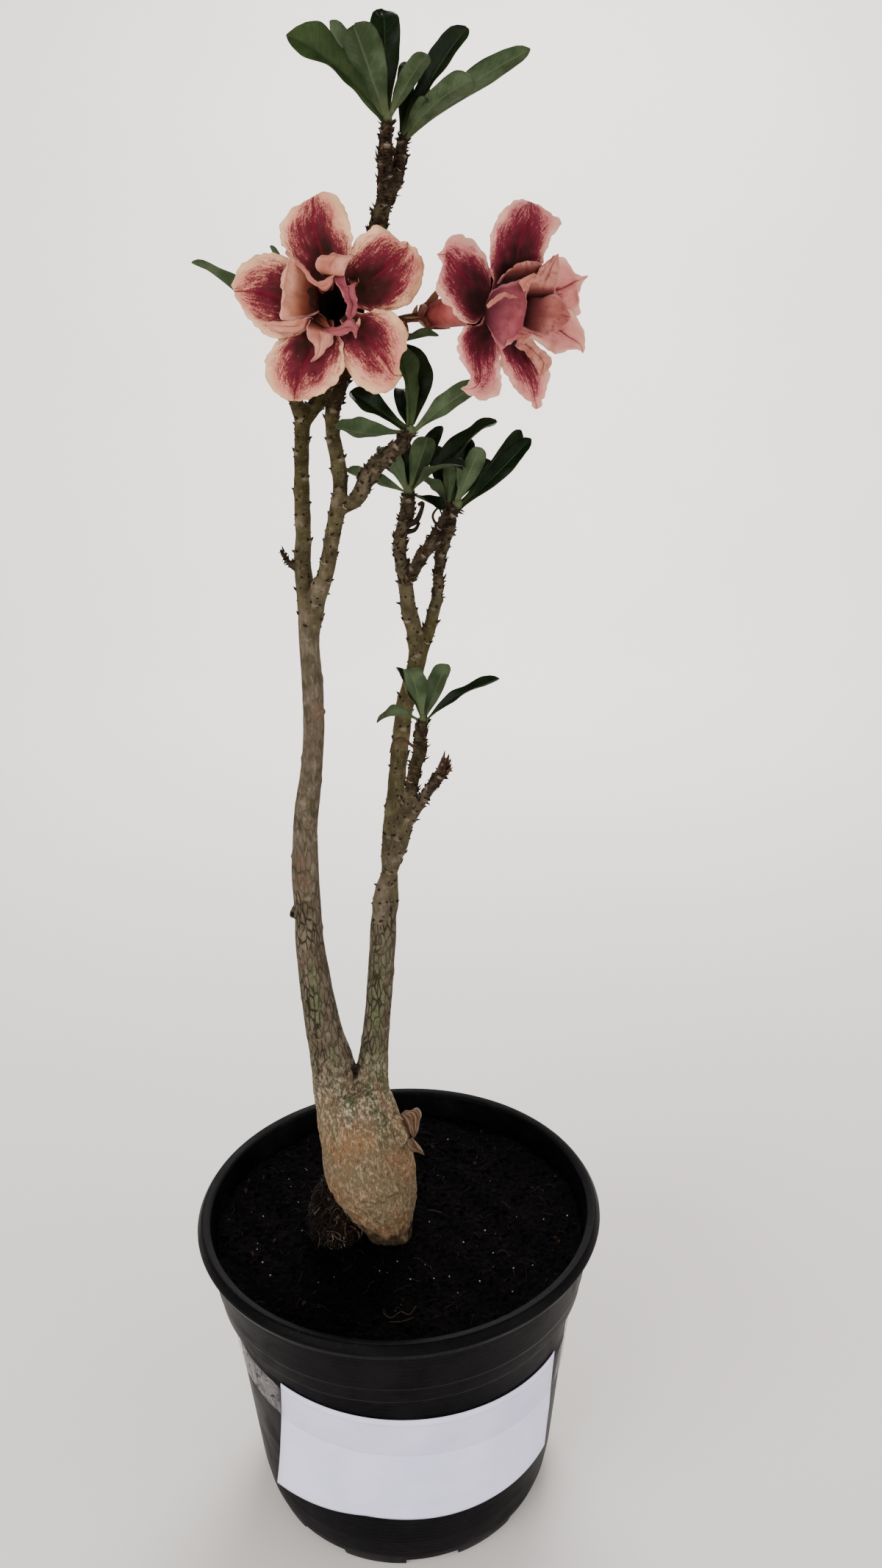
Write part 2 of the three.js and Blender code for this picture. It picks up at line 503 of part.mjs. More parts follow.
// Turns a solid of revolution about +Z onto the bloom's axis, with its zero at the mouth.
function placed(geometry, frame) {
  const basis = new THREE.Matrix4().makeBasis(frame.across, frame.up, frame.out);
  return geometry.applyMatrix4(basis.setPosition(frame.mouth));
}

function bloom(shape) {
  const frame = bloomFrame(shape);
  const outline = TUBE_OUTLINE.map(([radius, share]) => [radius, share * shape.tube]);
  const tube = solidFrom(placed(revolved(outline, 12), frame));
  const outer = shape.outer.map((each) =>
    petal(frame, each, PETAL.outerStart, PETAL_OUTLINE, [-1, -0.4, 0.4, 1]));
  const inner = shape.inner.map((each) =>
    petal(frame, each, PETAL.innerStart, INNER_PETAL_OUTLINE, [-1, 0, 1]));
  return oneBody(joined([tube, ...outer, ...inner]));
}

// The calyx: a small cup behind the tube, with pointed lobes round it, on a stalk that starts clear of the stem.
function calyx(shape) {
  const frame = bloomFrame(shape);
  const floor = -shape.tube - GAP;
  const cup = CALYX_CUP.map(([radius, height]) => [radius, floor + height]);
  const pieces = [solidFrom(placed(revolved(cup, 10), frame))];
  for (let k = 0; k < SEPAL.count; k++) {
    const angle = degrees(SEPAL.firstDegrees + (k * 360) / SEPAL.count);
    const outward = frame.across.clone().multiplyScalar(Math.cos(angle));
    outward.addScaledVector(frame.up, Math.sin(angle));
    const root = frame.mouth.clone()
      .addScaledVector(frame.out, floor - SEPAL.root)
      .addScaledVector(outward, SEPAL.outward);
    const direction = frame.out.clone().addScaledVector(outward, SEPAL.lean).normalize();
    pieces.push(spur(root, direction, SEPAL.length, SEPAL.radius));
  }
  const back = frame.mouth.clone().addScaledVector(frame.out, floor - STALK.sunk);
  const stalk = [...shape.stalk, back.toArray()].map((p, k) => [...p, STALK.radius + STALK.thickening * k]);
  pieces.push(stem({ sides: 6, ripple: 0.03, path: stalk }));
  const clearance = stem(STEMS[shape.stem], GAP);
  return oneBody(joined(pieces).subtract(clearance));
}

// ---------------------------------------------------------------- pot, soil and label

function pot() {
  let body = solidFrom(revolved(POT_OUTLINE, ROUND_SIDES));
  for (let k = 0; k < NOTCHES; k++) {
    const angle = degrees(NOTCH.firstDegrees + (k * 360) / NOTCHES);
    const notch = new THREE.BoxGeometry(NOTCH.depth, NOTCH.width, NOTCH.height * 2);
    notch.translate(NOTCH.radius + NOTCH.depth / 4, 0, 0).rotateZ(angle);
    const drain = new THREE.CylinderGeometry(DRAIN.radius, DRAIN.radius, DRAIN.length, DRAIN.sides);
    drain.rotateX(Math.PI / 2);
    drain.translate(DRAIN.ring, 0, 0).rotateZ(angle + Math.PI / NOTCHES);
    body = body.subtract(solidFrom(notch)).subtract(solidFrom(drain));
  }
  return body;
}

const soilHeight = (x, y) =>
  SOIL_TOP + 1.1 * Math.sin(x / 9) * Math.cos(y / 11) + 0.7 * Math.sin(x / 4 + y / 5);

// The soil fills the pot: its side follows the pot's inside, and its top is gently uneven.
function soilBody() {
  const side = SOIL_OUTLINE.map(([r, z]) => [r - SOIL_GAP, z]);
  side[side.length - 1][1] += SOIL_GAP;
  const points = [new THREE.Vector3(0, 0, soilHeight(0, 0))];
  const ringAt = (radius, height) => {
    for (let j = 0; j < ROUND_SIDES; j++) {
      const angle = (2 * Math.PI * j) / ROUND_SIDES + Math.PI / 2;
      const x = radius * Math.cos(angle);
      const y = radius * Math.sin(angle);
      points.push(new THREE.Vector3(x, y, height === undefined ? soilHeight(x, y) : height));
    }
  };
  SOIL_RINGS.forEach((radius) => ringAt(radius));
  side.forEach(([radius, height]) => ringAt(radius, height));
  const rings = SOIL_RINGS.length + side.length;
  const last = points.length;
  points.push(new THREE.Vector3(0, 0, side[side.length - 1][1]));
  const triangles = [];
  for (let j = 0; j < ROUND_SIDES; j++) {
    const next = (j + 1) % ROUND_SIDES;
    triangles.push([0, 1 + j, 1 + next]);
    for (let i = 0; i < rings - 1; i++) {
      const a = 1 + i * ROUND_SIDES;
      const b = a + ROUND_SIDES;
      triangles.push([a + j, b + j, b + next], [a + j, b + next, a + next]);
    }
    const end = 1 + (rings - 1) * ROUND_SIDES;
    triangles.push([end + j, last, end + next]);
  }
  return solidOf(points, triangles);
}

// The fibre clump: a rough mound with loose strands standing out of it.
function fibreClump() {
  const [cx, cy, cz] = CLUMP.centre;
  const [rx, ry, rz] = CLUMP.radii;
  const mound = new THREE.IcosahedronGeometry(1, 2);
  const spot = mound.attributes.position;
  for (let i = 0; i < spot.count; i++) {
    const [x, y, z] = [spot.getX(i), spot.getY(i), spot.getZ(i)];
    const rough = 1 + 0.07 * Math.sin(7 * x + 5 * z) + 0.06 * Math.sin(9 * y - 4 * x);
    spot.setXYZ(i, cx + rx * x * rough, cy + ry * y * rough, cz + rz * z * rough);
  }
  const strands = Array.from({ length: FIBRE.count }, (_, k) => {
    const turn = degrees(137.5) * k;
    const height = 0.15 + (0.75 * k) / FIBRE.count;
    const level = Math.sqrt(1 - height * height);
    const outward = new THREE.Vector3(Math.cos(turn) * level, Math.sin(turn) * level, height);
    const depth = 1 - FIBRE.sunk;
    const root = new THREE.Vector3(rx * outward.x, ry * outward.y, rz * height).multiplyScalar(depth);
    root.add(vector(CLUMP.centre));
    const lean = outward.add(new THREE.Vector3(Math.sin(3 * k), Math.cos(5 * k), 0.3)).normalize();
    return spur(root, lean, FIBRE.length + FIBRE.uneven * Math.sin(k), FIBRE.radius);
  });
  return joined([solidFrom(mound), ...strands]);
}

function soil() {
  const hole = stem(STEMS.caudex, ROOT_GAP);
  return oneBody(soilBody().add(fibreClump()).subtract(hole));
}

const WALL_SLOPE = (WALL_TOP.radius - WALL_FOOT.radius) / (WALL_TOP.height - WALL_FOOT.height);

const wallRadius = (height) => WALL_FOOT.radius + WALL_SLOPE * (height - WALL_FOOT.height);

const onWall = (turn, height, standOff) => {
  const radius = wallRadius(height) + standOff;
  return new THREE.Vector3(radius * Math.sin(degrees(turn)), -radius * Math.cos(degrees(turn)), height);
};

// How far the label stands off the wall: its lower left corner has come loose.
function labelLift(share, down) {
  const loose = Math.max(0, 1 - share / LABEL.looseShare);
  return LABEL.offset + LABEL.liftedCorner * loose * down * down;
}

function labelPoint(share, down, lift) {
  const mix = (a, b, t) => a + (b - a) * t;
  const { top, bottom } = LABEL;
  const turn = mix(mix(top.left, top.right, share), mix(bottom.left, bottom.right, share), down);
  const height = mix(
    mix(top.leftHeight, top.rightHeight, share),
    mix(bottom.leftHeight, bottom.rightHeight, share),
    down,
  );
  return onWall(turn, height, labelLift(share, down) + lift);
}

function label() {
  const shares = Array.from({ length: LABEL.columns + 1 }, (_, k) => k / LABEL.columns);
  const surface = (lift) => LABEL.rows.map((down) => shares.map((share) => labelPoint(share, down, lift)));
  return slab(surface(LABEL.thickness), surface(0));
}

// The tape holds the label's upper edge, and steps down onto the wall on both sides of it.
function tape() {
  const turns = Array.from(
    { length: TAPE.columns + 1 },
    (_, k) => TAPE.reach * ((2 * k) / TAPE.columns - 1),
  );
  const standOff = (turn) => {
    const onLabel = turn > LABEL.top.left - TAPE.overhang && turn < LABEL.bottom.right + TAPE.overhang;
    if (!onLabel) return LABEL.offset;
    return turn < LABEL.top.left + TAPE.loosePart ? TAPE.onLoosePart : TAPE.onLabel;
  };
  const surface = (lift) => [1, -1].map((edge) => turns.map((turn) => {
    const height = TAPE.middleHeight + TAPE.slope * turn + TAPE.halfWidth * edge;
    return onWall(turn, height, standOff(turn) + lift);
  }));
  return slab(surface(TAPE.thickness), surface(0));
}

// ---------------------------------------------------------------- scene graph

const desertRose = new THREE.Group();

function place(name, solid, [color, roughness]) {
  const material = new THREE.MeshStandardMaterial({ color, roughness, metalness: 0 });
  const mesh = new THREE.Mesh(geometryFrom(solid), material);
  mesh.name = name;
  desertRose.add(mesh);
}

place("pot", pot(), COLOURS.pot);
place("soil", soil(), COLOURS.soil);
place("label_paper", label(), COLOURS.paper);
place("label_tape", tape(), COLOURS.tape);
place("plant_wood", plantWood(), COLOURS.wood);
for (const [name, shape] of Object.entries(ROSETTES)) place(name, rosette(shape), COLOURS.leaf);
for (const [name, shape] of Object.entries(BLOOMS)) {
  place(`${name}_petals`, bloom(shape), COLOURS.petal);
  place(`${name}_calyx`, calyx(shape), COLOURS.calyx);
}

export default desertRose;
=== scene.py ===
import math

import bpy
import numpy as np
from mathutils import Euler, Matrix, Vector, noise


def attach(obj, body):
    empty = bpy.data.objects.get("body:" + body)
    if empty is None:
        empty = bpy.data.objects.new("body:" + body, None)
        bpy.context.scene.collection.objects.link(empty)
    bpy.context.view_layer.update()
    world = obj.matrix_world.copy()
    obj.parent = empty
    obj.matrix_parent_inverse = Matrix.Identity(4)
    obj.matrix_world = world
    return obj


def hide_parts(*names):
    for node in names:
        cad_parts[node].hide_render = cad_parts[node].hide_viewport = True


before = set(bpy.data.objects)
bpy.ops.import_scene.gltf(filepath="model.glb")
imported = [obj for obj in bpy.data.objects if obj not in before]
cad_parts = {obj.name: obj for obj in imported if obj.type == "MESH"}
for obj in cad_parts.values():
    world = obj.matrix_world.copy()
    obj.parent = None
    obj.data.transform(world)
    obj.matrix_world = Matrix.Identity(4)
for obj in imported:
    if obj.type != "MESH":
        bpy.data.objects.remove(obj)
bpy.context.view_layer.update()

MM = 0.001
GOLDEN = math.radians(137.5)
UP = np.array([0.0, 0.0, 1.0])
FRONT = np.array([0.0, -1.0, 0.0])

# ---------------------------------------------------------------- camera

PHOTO_WIDTH = 1200
PHOTO_HEIGHT = 2134
FOCAL_PIXELS = 1600
SENSOR = 36
CAMERA_PLACE = np.array([24.8, -496.0, 536.3])
CAMERA_PITCH = math.radians(18.1)
CAMERA_ROLL = math.radians(-1.1)


def camera_axes():
    """Forward, right and up of the camera."""
    forward = np.array([0, math.cos(CAMERA_PITCH), -math.sin(CAMERA_PITCH)])
    level_up = np.array([0, math.sin(CAMERA_PITCH), math.cos(CAMERA_PITCH)])
    level_right = np.array([1.0, 0, 0])
    right = level_right * math.cos(CAMERA_ROLL) + level_up * math.sin(CAMERA_ROLL)
    up = -level_right * math.sin(CAMERA_ROLL) + level_up * math.cos(CAMERA_ROLL)
    return forward, right, up


def pixel_rays(pixels):
    """Directions from the camera through pixels, given as an array (..., 2)."""
    forward, right, up = camera_axes()
    x = (pixels[..., 0:1] - PHOTO_WIDTH / 2) / FOCAL_PIXELS
    y = (pixels[..., 1:2] - PHOTO_HEIGHT / 2) / FOCAL_PIXELS
    return forward + right * x - up * y


def make_camera():
    forward, right, up = camera_axes()
    data = bpy.data.cameras.new("camera")
    data.sensor_width = SENSOR
    data.lens = SENSOR * FOCAL_PIXELS / PHOTO_HEIGHT
    data.clip_start = 0.01
    data.clip_end = 100
    camera = bpy.data.objects.new("camera", data)
    turn = Matrix((right, up, -forward)).transposed()
    camera.matrix_world = Matrix.Translation(Vector(CAMERA_PLACE * MM)) @ turn.to_4x4()
    bpy.context.collection.objects.link(camera)
    bpy.context.scene.camera = camera


make_camera()

# ---------------------------------------------------------------- mesh helpers


class Pile:
    """Collects closed shapes into one mesh, with named values at every point."""

    def __init__(self, *attributes):
        self.points = []
        self.faces = []
        self.values = {name: [] for name in attributes}
        self.count = 0

    def add(self, points, faces, **values):
        points = np.asarray(points, dtype=float).reshape(-1, 3)
        self.points.append(points)
        self.faces.extend([tuple(i + self.count for i in face) for face in faces])
        for name, store in self.values.items():
            store.append(np.broadcast_to(np.asarray(values.get(name, 0.0), dtype=float), (len(points),)))
        self.count += len(points)

    def piece(self, name, material, slot, replaces=None):
        values = {key: np.concatenate(store) for key, store in self.values.items()}
        mesh = mesh_from(name, np.concatenate(self.points), self.faces, values)
        return finish_piece(mesh, name, material, replaces)


def mesh_from(name, points, faces, values=None):
    """A mesh from points in millimetres, with float attributes."""
    mesh = bpy.data.meshes.new(name)
    mesh.from_pydata((np.asarray(points) * MM).tolist(), [], faces)
    add_attributes(mesh, values or {})
    return mesh


def add_attributes(mesh, values):
    for key, column in values.items():
        layer = mesh.attributes.new(key, "FLOAT", "POINT")
        layer.data.foreach_set("value", np.asarray(column, dtype=np.float32))


def finish_piece(mesh, name, material, replaces=None, sharp_degrees=None):
    """Makes the object, gives it its material, hangs it on the root body and hides the part it replaces."""
    mesh.materials.clear()
    mesh.materials.append(material)
    mesh.polygons.foreach_set("use_smooth", [True] * len(mesh.polygons))
    if sharp_degrees:
        mesh.set_sharp_from_angle(angle=math.radians(sharp_degrees))
    mesh.update()
    piece = bpy.data.objects.new(name, mesh)
    bpy.context.collection.objects.link(piece)
    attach(piece, "root")
    if replaces:
        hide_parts(replaces)
    return piece


def applied(piece):
    """The piece's mesh with its modifiers applied; the piece itself is removed."""
    graph = bpy.context.evaluated_depsgraph_get()
    mesh = bpy.data.meshes.new_from_object(piece.evaluated_get(graph))
    bpy.data.objects.remove(piece)
    return mesh


def loose_object(mesh):
    """An object only used while building, such as a cutter."""
    made = bpy.data.objects.new("working", mesh)
    bpy.context.collection.objects.link(made)
    return made


def unit(vector):
    return vector / np.maximum(np.linalg.norm(vector, axis=-1, keepdims=True), 1e-9)


def smoothstep(low, high, value):
    share = np.clip((value - low) / (high - low), 0, 1)
    return share * share * (3 - 2 * share)


def noise_at(points, size, seed=0.0):
    """Smooth noise between about -1 and 1. size is one length, or one for each axis, in millimetres."""
    scaled = np.asarray(points, dtype=float) / np.asarray(size, dtype=float) + seed
    return np.array([noise.noise(p) for p in scaled.reshape(-1, 3).tolist()]).reshape(scaled.shape[:-1])


def through(stations, step):
    """Points about every step along a centripetal Catmull-Rom curve; columns past xyz go along."""
    stations = np.asarray(stations, dtype=float)
    ends = np.vstack([2 * stations[0] - stations[1], stations, 2 * stations[-1] - stations[-2]])
    made = []
    for p0, p1, p2, p3 in zip(ends, ends[1:], ends[2:], ends[3:]):
        pairs = ((p0, p1), (p1, p2), (p2, p3))
        k0, k1, k2 = [max(np.linalg.norm((b - a)[:3]) ** 0.5, 1e-3) for a, b in pairs]
        slope1 = ((p1 - p0) / k0 - (p2 - p0) / (k0 + k1) + (p2 - p1) / k1) * k1
        slope2 = ((p2 - p1) / k1 - (p3 - p1) / (k1 + k2) + (p3 - p2) / k2) * k1
        count = max(2, math.ceil(np.linalg.norm((p2 - p1)[:3]) / step))
        for t in np.arange(count) / count:
            made.append(
                p1 + slope1 * t + (3 * (p2 - p1) - 2 * slope1 - slope2) * t**2
                + (2 * (p1 - p2) + slope1 + slope2) * t**3
            )
    made.append(stations[-1])
    return np.array(made)


def spline(stations, count):
    """count points, evenly spaced, along a smooth curve through stations of two or three coordinates."""
    stations = np.asarray(stations, dtype=float)
    flat = np.hstack([stations, np.zeros((len(stations), max(0, 3 - stations.shape[1])))])
    fine = through(flat, np.linalg.norm(np.diff(flat, axis=0), axis=1).sum() / (4 * count))
    length = np.concatenate([[0], np.cumsum(np.linalg.norm(np.diff(fine, axis=0), axis=1))])
    wanted = np.linspace(0, length[-1], count)
    return np.column_stack([np.interp(wanted, length, fine[:, k]) for k in range(stations.shape[1])])


def frames_along(centres):
    """A side and a second side at each point of a line, without twist."""
    tangents = unit(np.gradient(centres, axis=0))
    side = np.array([1.0, 0, 0])
    sides = []
    for tangent in tangents:
        side = side - side.dot(tangent) * tangent
        side = unit(side)
        sides.append(side)
    sides = np.array(sides)
    return tangents, sides, np.cross(tangents, sides)


def ring_faces(rows, sides, first=0):
    """The quads between closed rings of points that follow each other from the point first."""
    faces = []
    for i in range(rows - 1):
        for j in range(sides):
            a, b = first + i * sides, first + (i + 1) * sides
            k = (j + 1) % sides
            faces.append((a + j, a + k, b + k, b + j))
    return faces


def tube(centres, radii, sides, flat=1.0):
    """A closed tube round a line. flat under 1 presses it into a strap."""
    _, first, second = frames_along(centres)
    angle = np.arange(sides) * 2 * math.pi / sides
    ring = np.cos(angle)[:, None] * first[:, None] + flat * np.sin(angle)[:, None] * second[:, None]
    points = centres[:, None] + ring * np.asarray(radii)[:, None, None]
    rows = len(centres)
    faces = ring_faces(rows, sides)
    faces.append(tuple(reversed(range(sides))))
    faces.append(tuple((rows - 1) * sides + j for j in range(sides)))
    return points.reshape(-1, 3), faces


def lathe(outline, sides):
    """A solid of revolution: the outline starts and ends on the axis."""
    angle = np.arange(sides) * 2 * math.pi / sides
    inner = outline[1:-1]
    points = [(r * math.sin(a), -r * math.cos(a), z) for r, z in inner for a in angle]
    first, last = len(points), len(points) + 1
    points += [(0, 0, outline[0][1]), (0, 0, outline[-1][1])]
    faces = ring_faces(len(inner), sides)
    top = (len(inner) - 1) * sides
    for j in range(sides):
        k = (j + 1) % sides
        faces.append((first, k, j))
        faces.append((last, top + j, top + k))
    return np.array(points), faces


def rounded(outline, radius, steps=3):
    """The outline with its corners turned into short curves."""
    outline = [np.array(p, dtype=float) for p in outline]
    made = [outline[0]]
    for before, corner, after in zip(outline, outline[1:], outline[2:]):
        reach_in = min(radius, 0.45 * np.linalg.norm(corner - before))
        reach_out = min(radius, 0.45 * np.linalg.norm(after - corner))
        start = corner + unit(before - corner) * reach_in
        end = corner + unit(after - corner) * reach_out
        for t in np.linspace(0, 1, steps + 1):
            made.append((1 - t) ** 2 * start + 2 * t * (1 - t) * corner + t * t * end)
    made.append(outline[-1])
    return made


def blade(grid, thickness, margin=0.5):
    """Closes a grid of points (rows, columns, 3) into a thin blade: points, faces and each point's side."""
    rows, columns = grid.shape[:2]
    normal = unit(np.cross(np.gradient(grid, axis=0), np.gradient(grid, axis=1)))
    across = np.abs(np.linspace(-1, 1, columns))[None, :]
    along = np.linspace(0, 1, rows)[:, None]
    thin = 1 - margin * np.maximum(across**6, along**8)
    offset = normal * (thin * thickness / 2)[..., None]
    points = np.concatenate([(grid + offset).reshape(-1, 3), (grid - offset).reshape(-1, 3)])
    under = rows * columns
    faces = []
    for i in range(rows - 1):
        for j in range(columns - 1):
            a = i * columns + j
            b = a + columns
            faces.append((a, b, b + 1, a + 1))
            faces.append((a + under, a + 1 + under, b + 1 + under, b + under))
        left = i * columns
        right = left + columns - 1
        faces.append((left, left + under, left + columns + under, left + columns))
        faces.append((right, right + columns, right + columns + under, right + under))
    last = (rows - 1) * columns
    for j in range(columns - 1):
        faces.append((j + 1, j + 1 + under, j + under, j))
        faces.append((last + j, last + j + under, last + j + 1 + under, last + j + 1))
    side = np.repeat([0.0, 1.0], under)
    return points, faces, side


def blade_shares(rows, columns):
    """How far across (-1 to 1) and along (0 to 1) each point of a blade is."""
    across = np.tile(np.linspace(-1, 1, columns), rows)
    along = np.repeat(np.linspace(0, 1, rows), columns)
    return np.tile(across, 2), np.tile(along, 2)


def share_and_edge(rows, columns):
    """A column of shares along and a row of shares across, which combine into a grid."""
    return np.linspace(0, 1, rows)[:, None], np.linspace(-1, 1, columns)[None, :]


# ---------------------------------------------------------------- materials


class Signal:
    """What a shader node gives out. Arithmetic on signals adds math nodes."""

    def __init__(self, shader, socket):
        self.shader = shader
        self.socket = socket

    def __add__(self, other):
        return self.shader.math("ADD", self, other)

    def __sub__(self, other):
        return self.shader.math("SUBTRACT", self, other)

    def __mul__(self, other):
        return self.shader.math("MULTIPLY", self, other)

    def __truediv__(self, other):
        return self.shader.math("DIVIDE", self, other)


class Shader:
    """A procedural material, built node by node. Lengths are in millimetres."""

    def __init__(self, name, **constants):
        self.material = bpy.data.materials.new(name)
        self.material.use_nodes = True
        self.tree = self.material.node_tree
        self.surface = self.tree.nodes["Principled BSDF"]
        for socket, value in constants.items():
            self.surface.inputs[socket.replace("_", " ")].default_value = value

    def node(self, kind, output, inputs=(), **settings):
        """Adds a node with its settings and inputs (by name or number), and gives what comes out of it."""
        made = self.tree.nodes.new(kind)
        for key, value in settings.items():
            setattr(made, key, value)
        for key, value in dict(inputs).items():
            self.put(made.inputs[key], value)
        return Signal(self, made.outputs[output])

    def put(self, socket, value):
        if isinstance(value, Signal):
            self.tree.links.new(value.socket, socket)
        elif socket.type == "RGBA":
            socket.default_value = (*value, 1)
        else:
            socket.default_value = value

    def attribute(self, name):
        return self.node("ShaderNodeAttribute", "Fac", attribute_name=name)

    def position(self, stretch=(1, 1, 1)):
        """The place on the object in millimetres, divided along each axis by stretch."""
        scale = tuple(1 / (MM * s) for s in stretch)
        place = self.node("ShaderNodeTexCoord", "Object")
        return self.node("ShaderNodeMapping", "Vector", {"Scale": scale, "Vector": place})

    def height(self):
        return self.node("ShaderNodeSeparateXYZ", "Z", {0: self.position()})

    def vector(self, x, y, z=0.0):
        return self.node("ShaderNodeCombineXYZ", "Vector", enumerate((x, y, z)))

    def noise(self, vector, size, detail=3.0, rough=0.55, warp=0.0):
        inputs = {"Vector": vector, "Scale": 1 / size}
        inputs.update(Detail=detail, Roughness=rough, Distortion=warp)
        return self.node("ShaderNodeTexNoise", 0, inputs)

    def cells(self, vector, size):
        """How far a point is from the nearest border between cells."""
        inputs = {"Vector": vector, "Scale": 1 / size}
        return self.node("ShaderNodeTexVoronoi", "Distance", inputs, feature="DISTANCE_TO_EDGE")

    def math(self, operation, a, b=0.0, c=0.0):
        return self.node("ShaderNodeMath", 0, enumerate((a, b, c)), operation=operation)

    def between(self, value, low, high, first=0.0, last=1.0):
        """Goes smoothly from first to last as value goes from low to high."""
        inputs = enumerate((value, low, high, first, last))
        return self.node("ShaderNodeMapRange", 0, inputs, interpolation_type="SMOOTHSTEP")

    def ramp(self, value, *stops):
        """stops are (place, colour)."""
        made = self.tree.nodes.new("ShaderNodeValToRGB")
        elements = made.color_ramp.elements
        while len(elements) < len(stops):
            elements.new(0.5)
        for element, (place, colour) in zip(elements, stops):
            element.position = place
            element.color = (*colour, 1)
        self.put(made.inputs[0], value)
        return Signal(self, made.outputs["Color"])

    def mix(self, share, first, second):
        """Two colours, mixed. A mix node has sockets for numbers and vectors before those for colours."""
        return self.node("ShaderNodeMix", 2, {0: share, 6: first, 7: second}, data_type="RGBA")

    def graded(self, value, low, high, first, second, most=1.0):
        """Goes from the first colour to the second, or to a share of it, as value goes from low to high."""
        return self.mix(self.between(value, low, high, 0.0, most), first, second)

    def bump(self, height, distance, normal=None):
        inputs = {"Distance": distance * MM, "Height": height}
        if normal is not None:
            inputs["Normal"] = normal
        return self.node("ShaderNodeBump", "Normal", inputs)

    def finish(self, colour, roughness=None, normal=None, alpha=None):
        wanted = {"Base Color": colour, "Roughness": roughness, "Normal": normal, "Alpha": alpha}
        for key, value in wanted.items():
            if value is not None:
                self.put(self.surface.inputs[key], value)
        return self.material


def pot_material():
    """Black moulded plastic: faint mould rings, scuffs, and soil dust near the foot and on the rim."""
    s = Shader("pot_plastic", Specular_IOR_Level=0.034)
    place = s.position()
    clouds = s.noise(place, 34, 5, 0.62, 0.4)
    smears = s.noise(s.position((9, 9, 1.3)), 2.2, 4, 0.6)
    grit = s.noise(place, 1.1, 2, 0.7)
    level = s.height()
    foot = s.between(level, 42.0, 2.0)
    rim = s.between(level, 147.0, 156.0)
    dust = s.between(clouds, 0.45, 0.76) * 0.4
    dust = s.math("MAXIMUM", dust, rim * s.between(grit, 0.45, 0.72, 0.0, 0.08))
    dust = s.math("MAXIMUM", dust, foot * s.between(clouds, 0.38, 0.66, 0.0, 0.35))
    colour = s.mix(dust, (0.0017, 0.0016, 0.0022), (0.0125, 0.0112, 0.0116))
    speck = s.between(s.noise(place, 0.9, 1, 0.5), 0.71, 0.76)
    colour = s.mix(speck * 0.25, colour, (0.05, 0.04, 0.034))
    rough = s.between(dust + smears * 0.5, 0.15, 0.8, 0.38, 0.62)
    rings = s.math("SINE", level * 2.6)
    normal = s.bump(rings * 0.25, 0.04)
    normal = s.bump(s.noise(place, 3.2, 5, 0.65), 0.12, normal)
    return s.finish(colour, rough, normal)


def soil_material():
    """Black peaty potting mix with a few brown bits."""
    s = Shader("potting_soil", Specular_IOR_Level=0.03)
    place = s.position()
    grain = s.noise(place, 2.2, 5, 0.72)
    colour = s.graded(grain, 0.4, 0.75, (0.0007, 0.0005, 0.0006), (0.0038, 0.0029, 0.0028))
    colour = s.graded(s.attribute("tint"), 0.0, 1.0, colour, (0.028, 0.016, 0.01))
    normal = s.bump(s.noise(place, 0.8, 4, 0.7), 0.35)
    return s.finish(colour, s.between(s.noise(place, 2.0, 3), 0.3, 0.7, 0.75, 0.98), normal)


def fibre_material():
    """Old roots: mostly black-brown, some tan, a few grey-white."""
    s = Shader("fibre", Specular_IOR_Level=0.2)
    colour = s.ramp(
        s.attribute("tint"), (0.0, (0.002, 0.0016, 0.0014)), (0.45, (0.008, 0.005, 0.003)),
        (0.75, (0.045, 0.026, 0.014)), (0.93, (0.1, 0.078, 0.055)), (1.0, (0.2, 0.19, 0.17)),
    )
    grain = s.noise(s.position(), 1.4, 3)
    colour = s.graded(grain, 0.4, 0.8, colour, (0.005, 0.0035, 0.003), 0.5)
    return s.finish(colour, 0.7, s.bump(grain, 0.2))


def perlite_material():
    s = Shader("perlite", Specular_IOR_Level=0.2)
    grain = s.noise(s.position(), 0.5, 3)
    return s.finish(s.mix(grain, (0.12, 0.12, 0.12), (0.38, 0.38, 0.37)), 0.85, s.bump(grain, 0.2))


def paper_material():
    """White office paper, left blank: faint fibres, soft creases and a greyer, handled edge."""
    s = Shader("label_paper", Specular_IOR_Level=0.25)
    place = s.position()
    clouds = s.noise(place, 26, 4, 0.5)
    colour = s.graded(clouds, 0.3, 0.75, (0.735, 0.725, 0.94), (0.64, 0.635, 0.85))
    edge = s.between(s.attribute("across"), 0.94, 1.0)
    colour = s.mix(edge * 0.25, colour, (0.5, 0.49, 0.52))
    fleck = s.between(s.noise(place, 1.3, 2, 0.6), 0.72, 0.78)
    colour = s.mix(fleck * 0.2, colour, (0.45, 0.43, 0.43))
    normal = s.bump(s.noise(place, 0.7, 4, 0.6), 0.04)
    return s.finish(colour, 0.85, s.bump(clouds, 1.2, normal))


def tape_material():
    """Clear tape: glossy, with white clouds and crinkles where it doesn't touch what it covers."""
    s = Shader("clear_tape", Roughness=0.2, Specular_IOR_Level=0.45)
    place = s.position()
    creases = s.cells(s.position((1, 1, 1.8)), 7.0)
    cloud = s.noise(place, 6.0, 5, 0.66, 1.2)
    free = s.attribute("free")
    haze = s.between(cloud, 0.38, 0.62) * free * 0.62
    line = s.between(creases, 0.07, 0.0) * free * 0.4
    veil = s.math("MAXIMUM", haze, line)
    colour = s.mix(veil, (0.19, 0.172, 0.178), (0.09, 0.081, 0.086))
    alpha = s.between(s.attribute("edge"), 0.93, 1.0, 0.035, 0.13) + veil * 0.8
    normal = s.bump(cloud + creases * 0.6, 0.9)
    return s.finish(colour, None, normal, s.math("MINIMUM", alpha, 0.85))


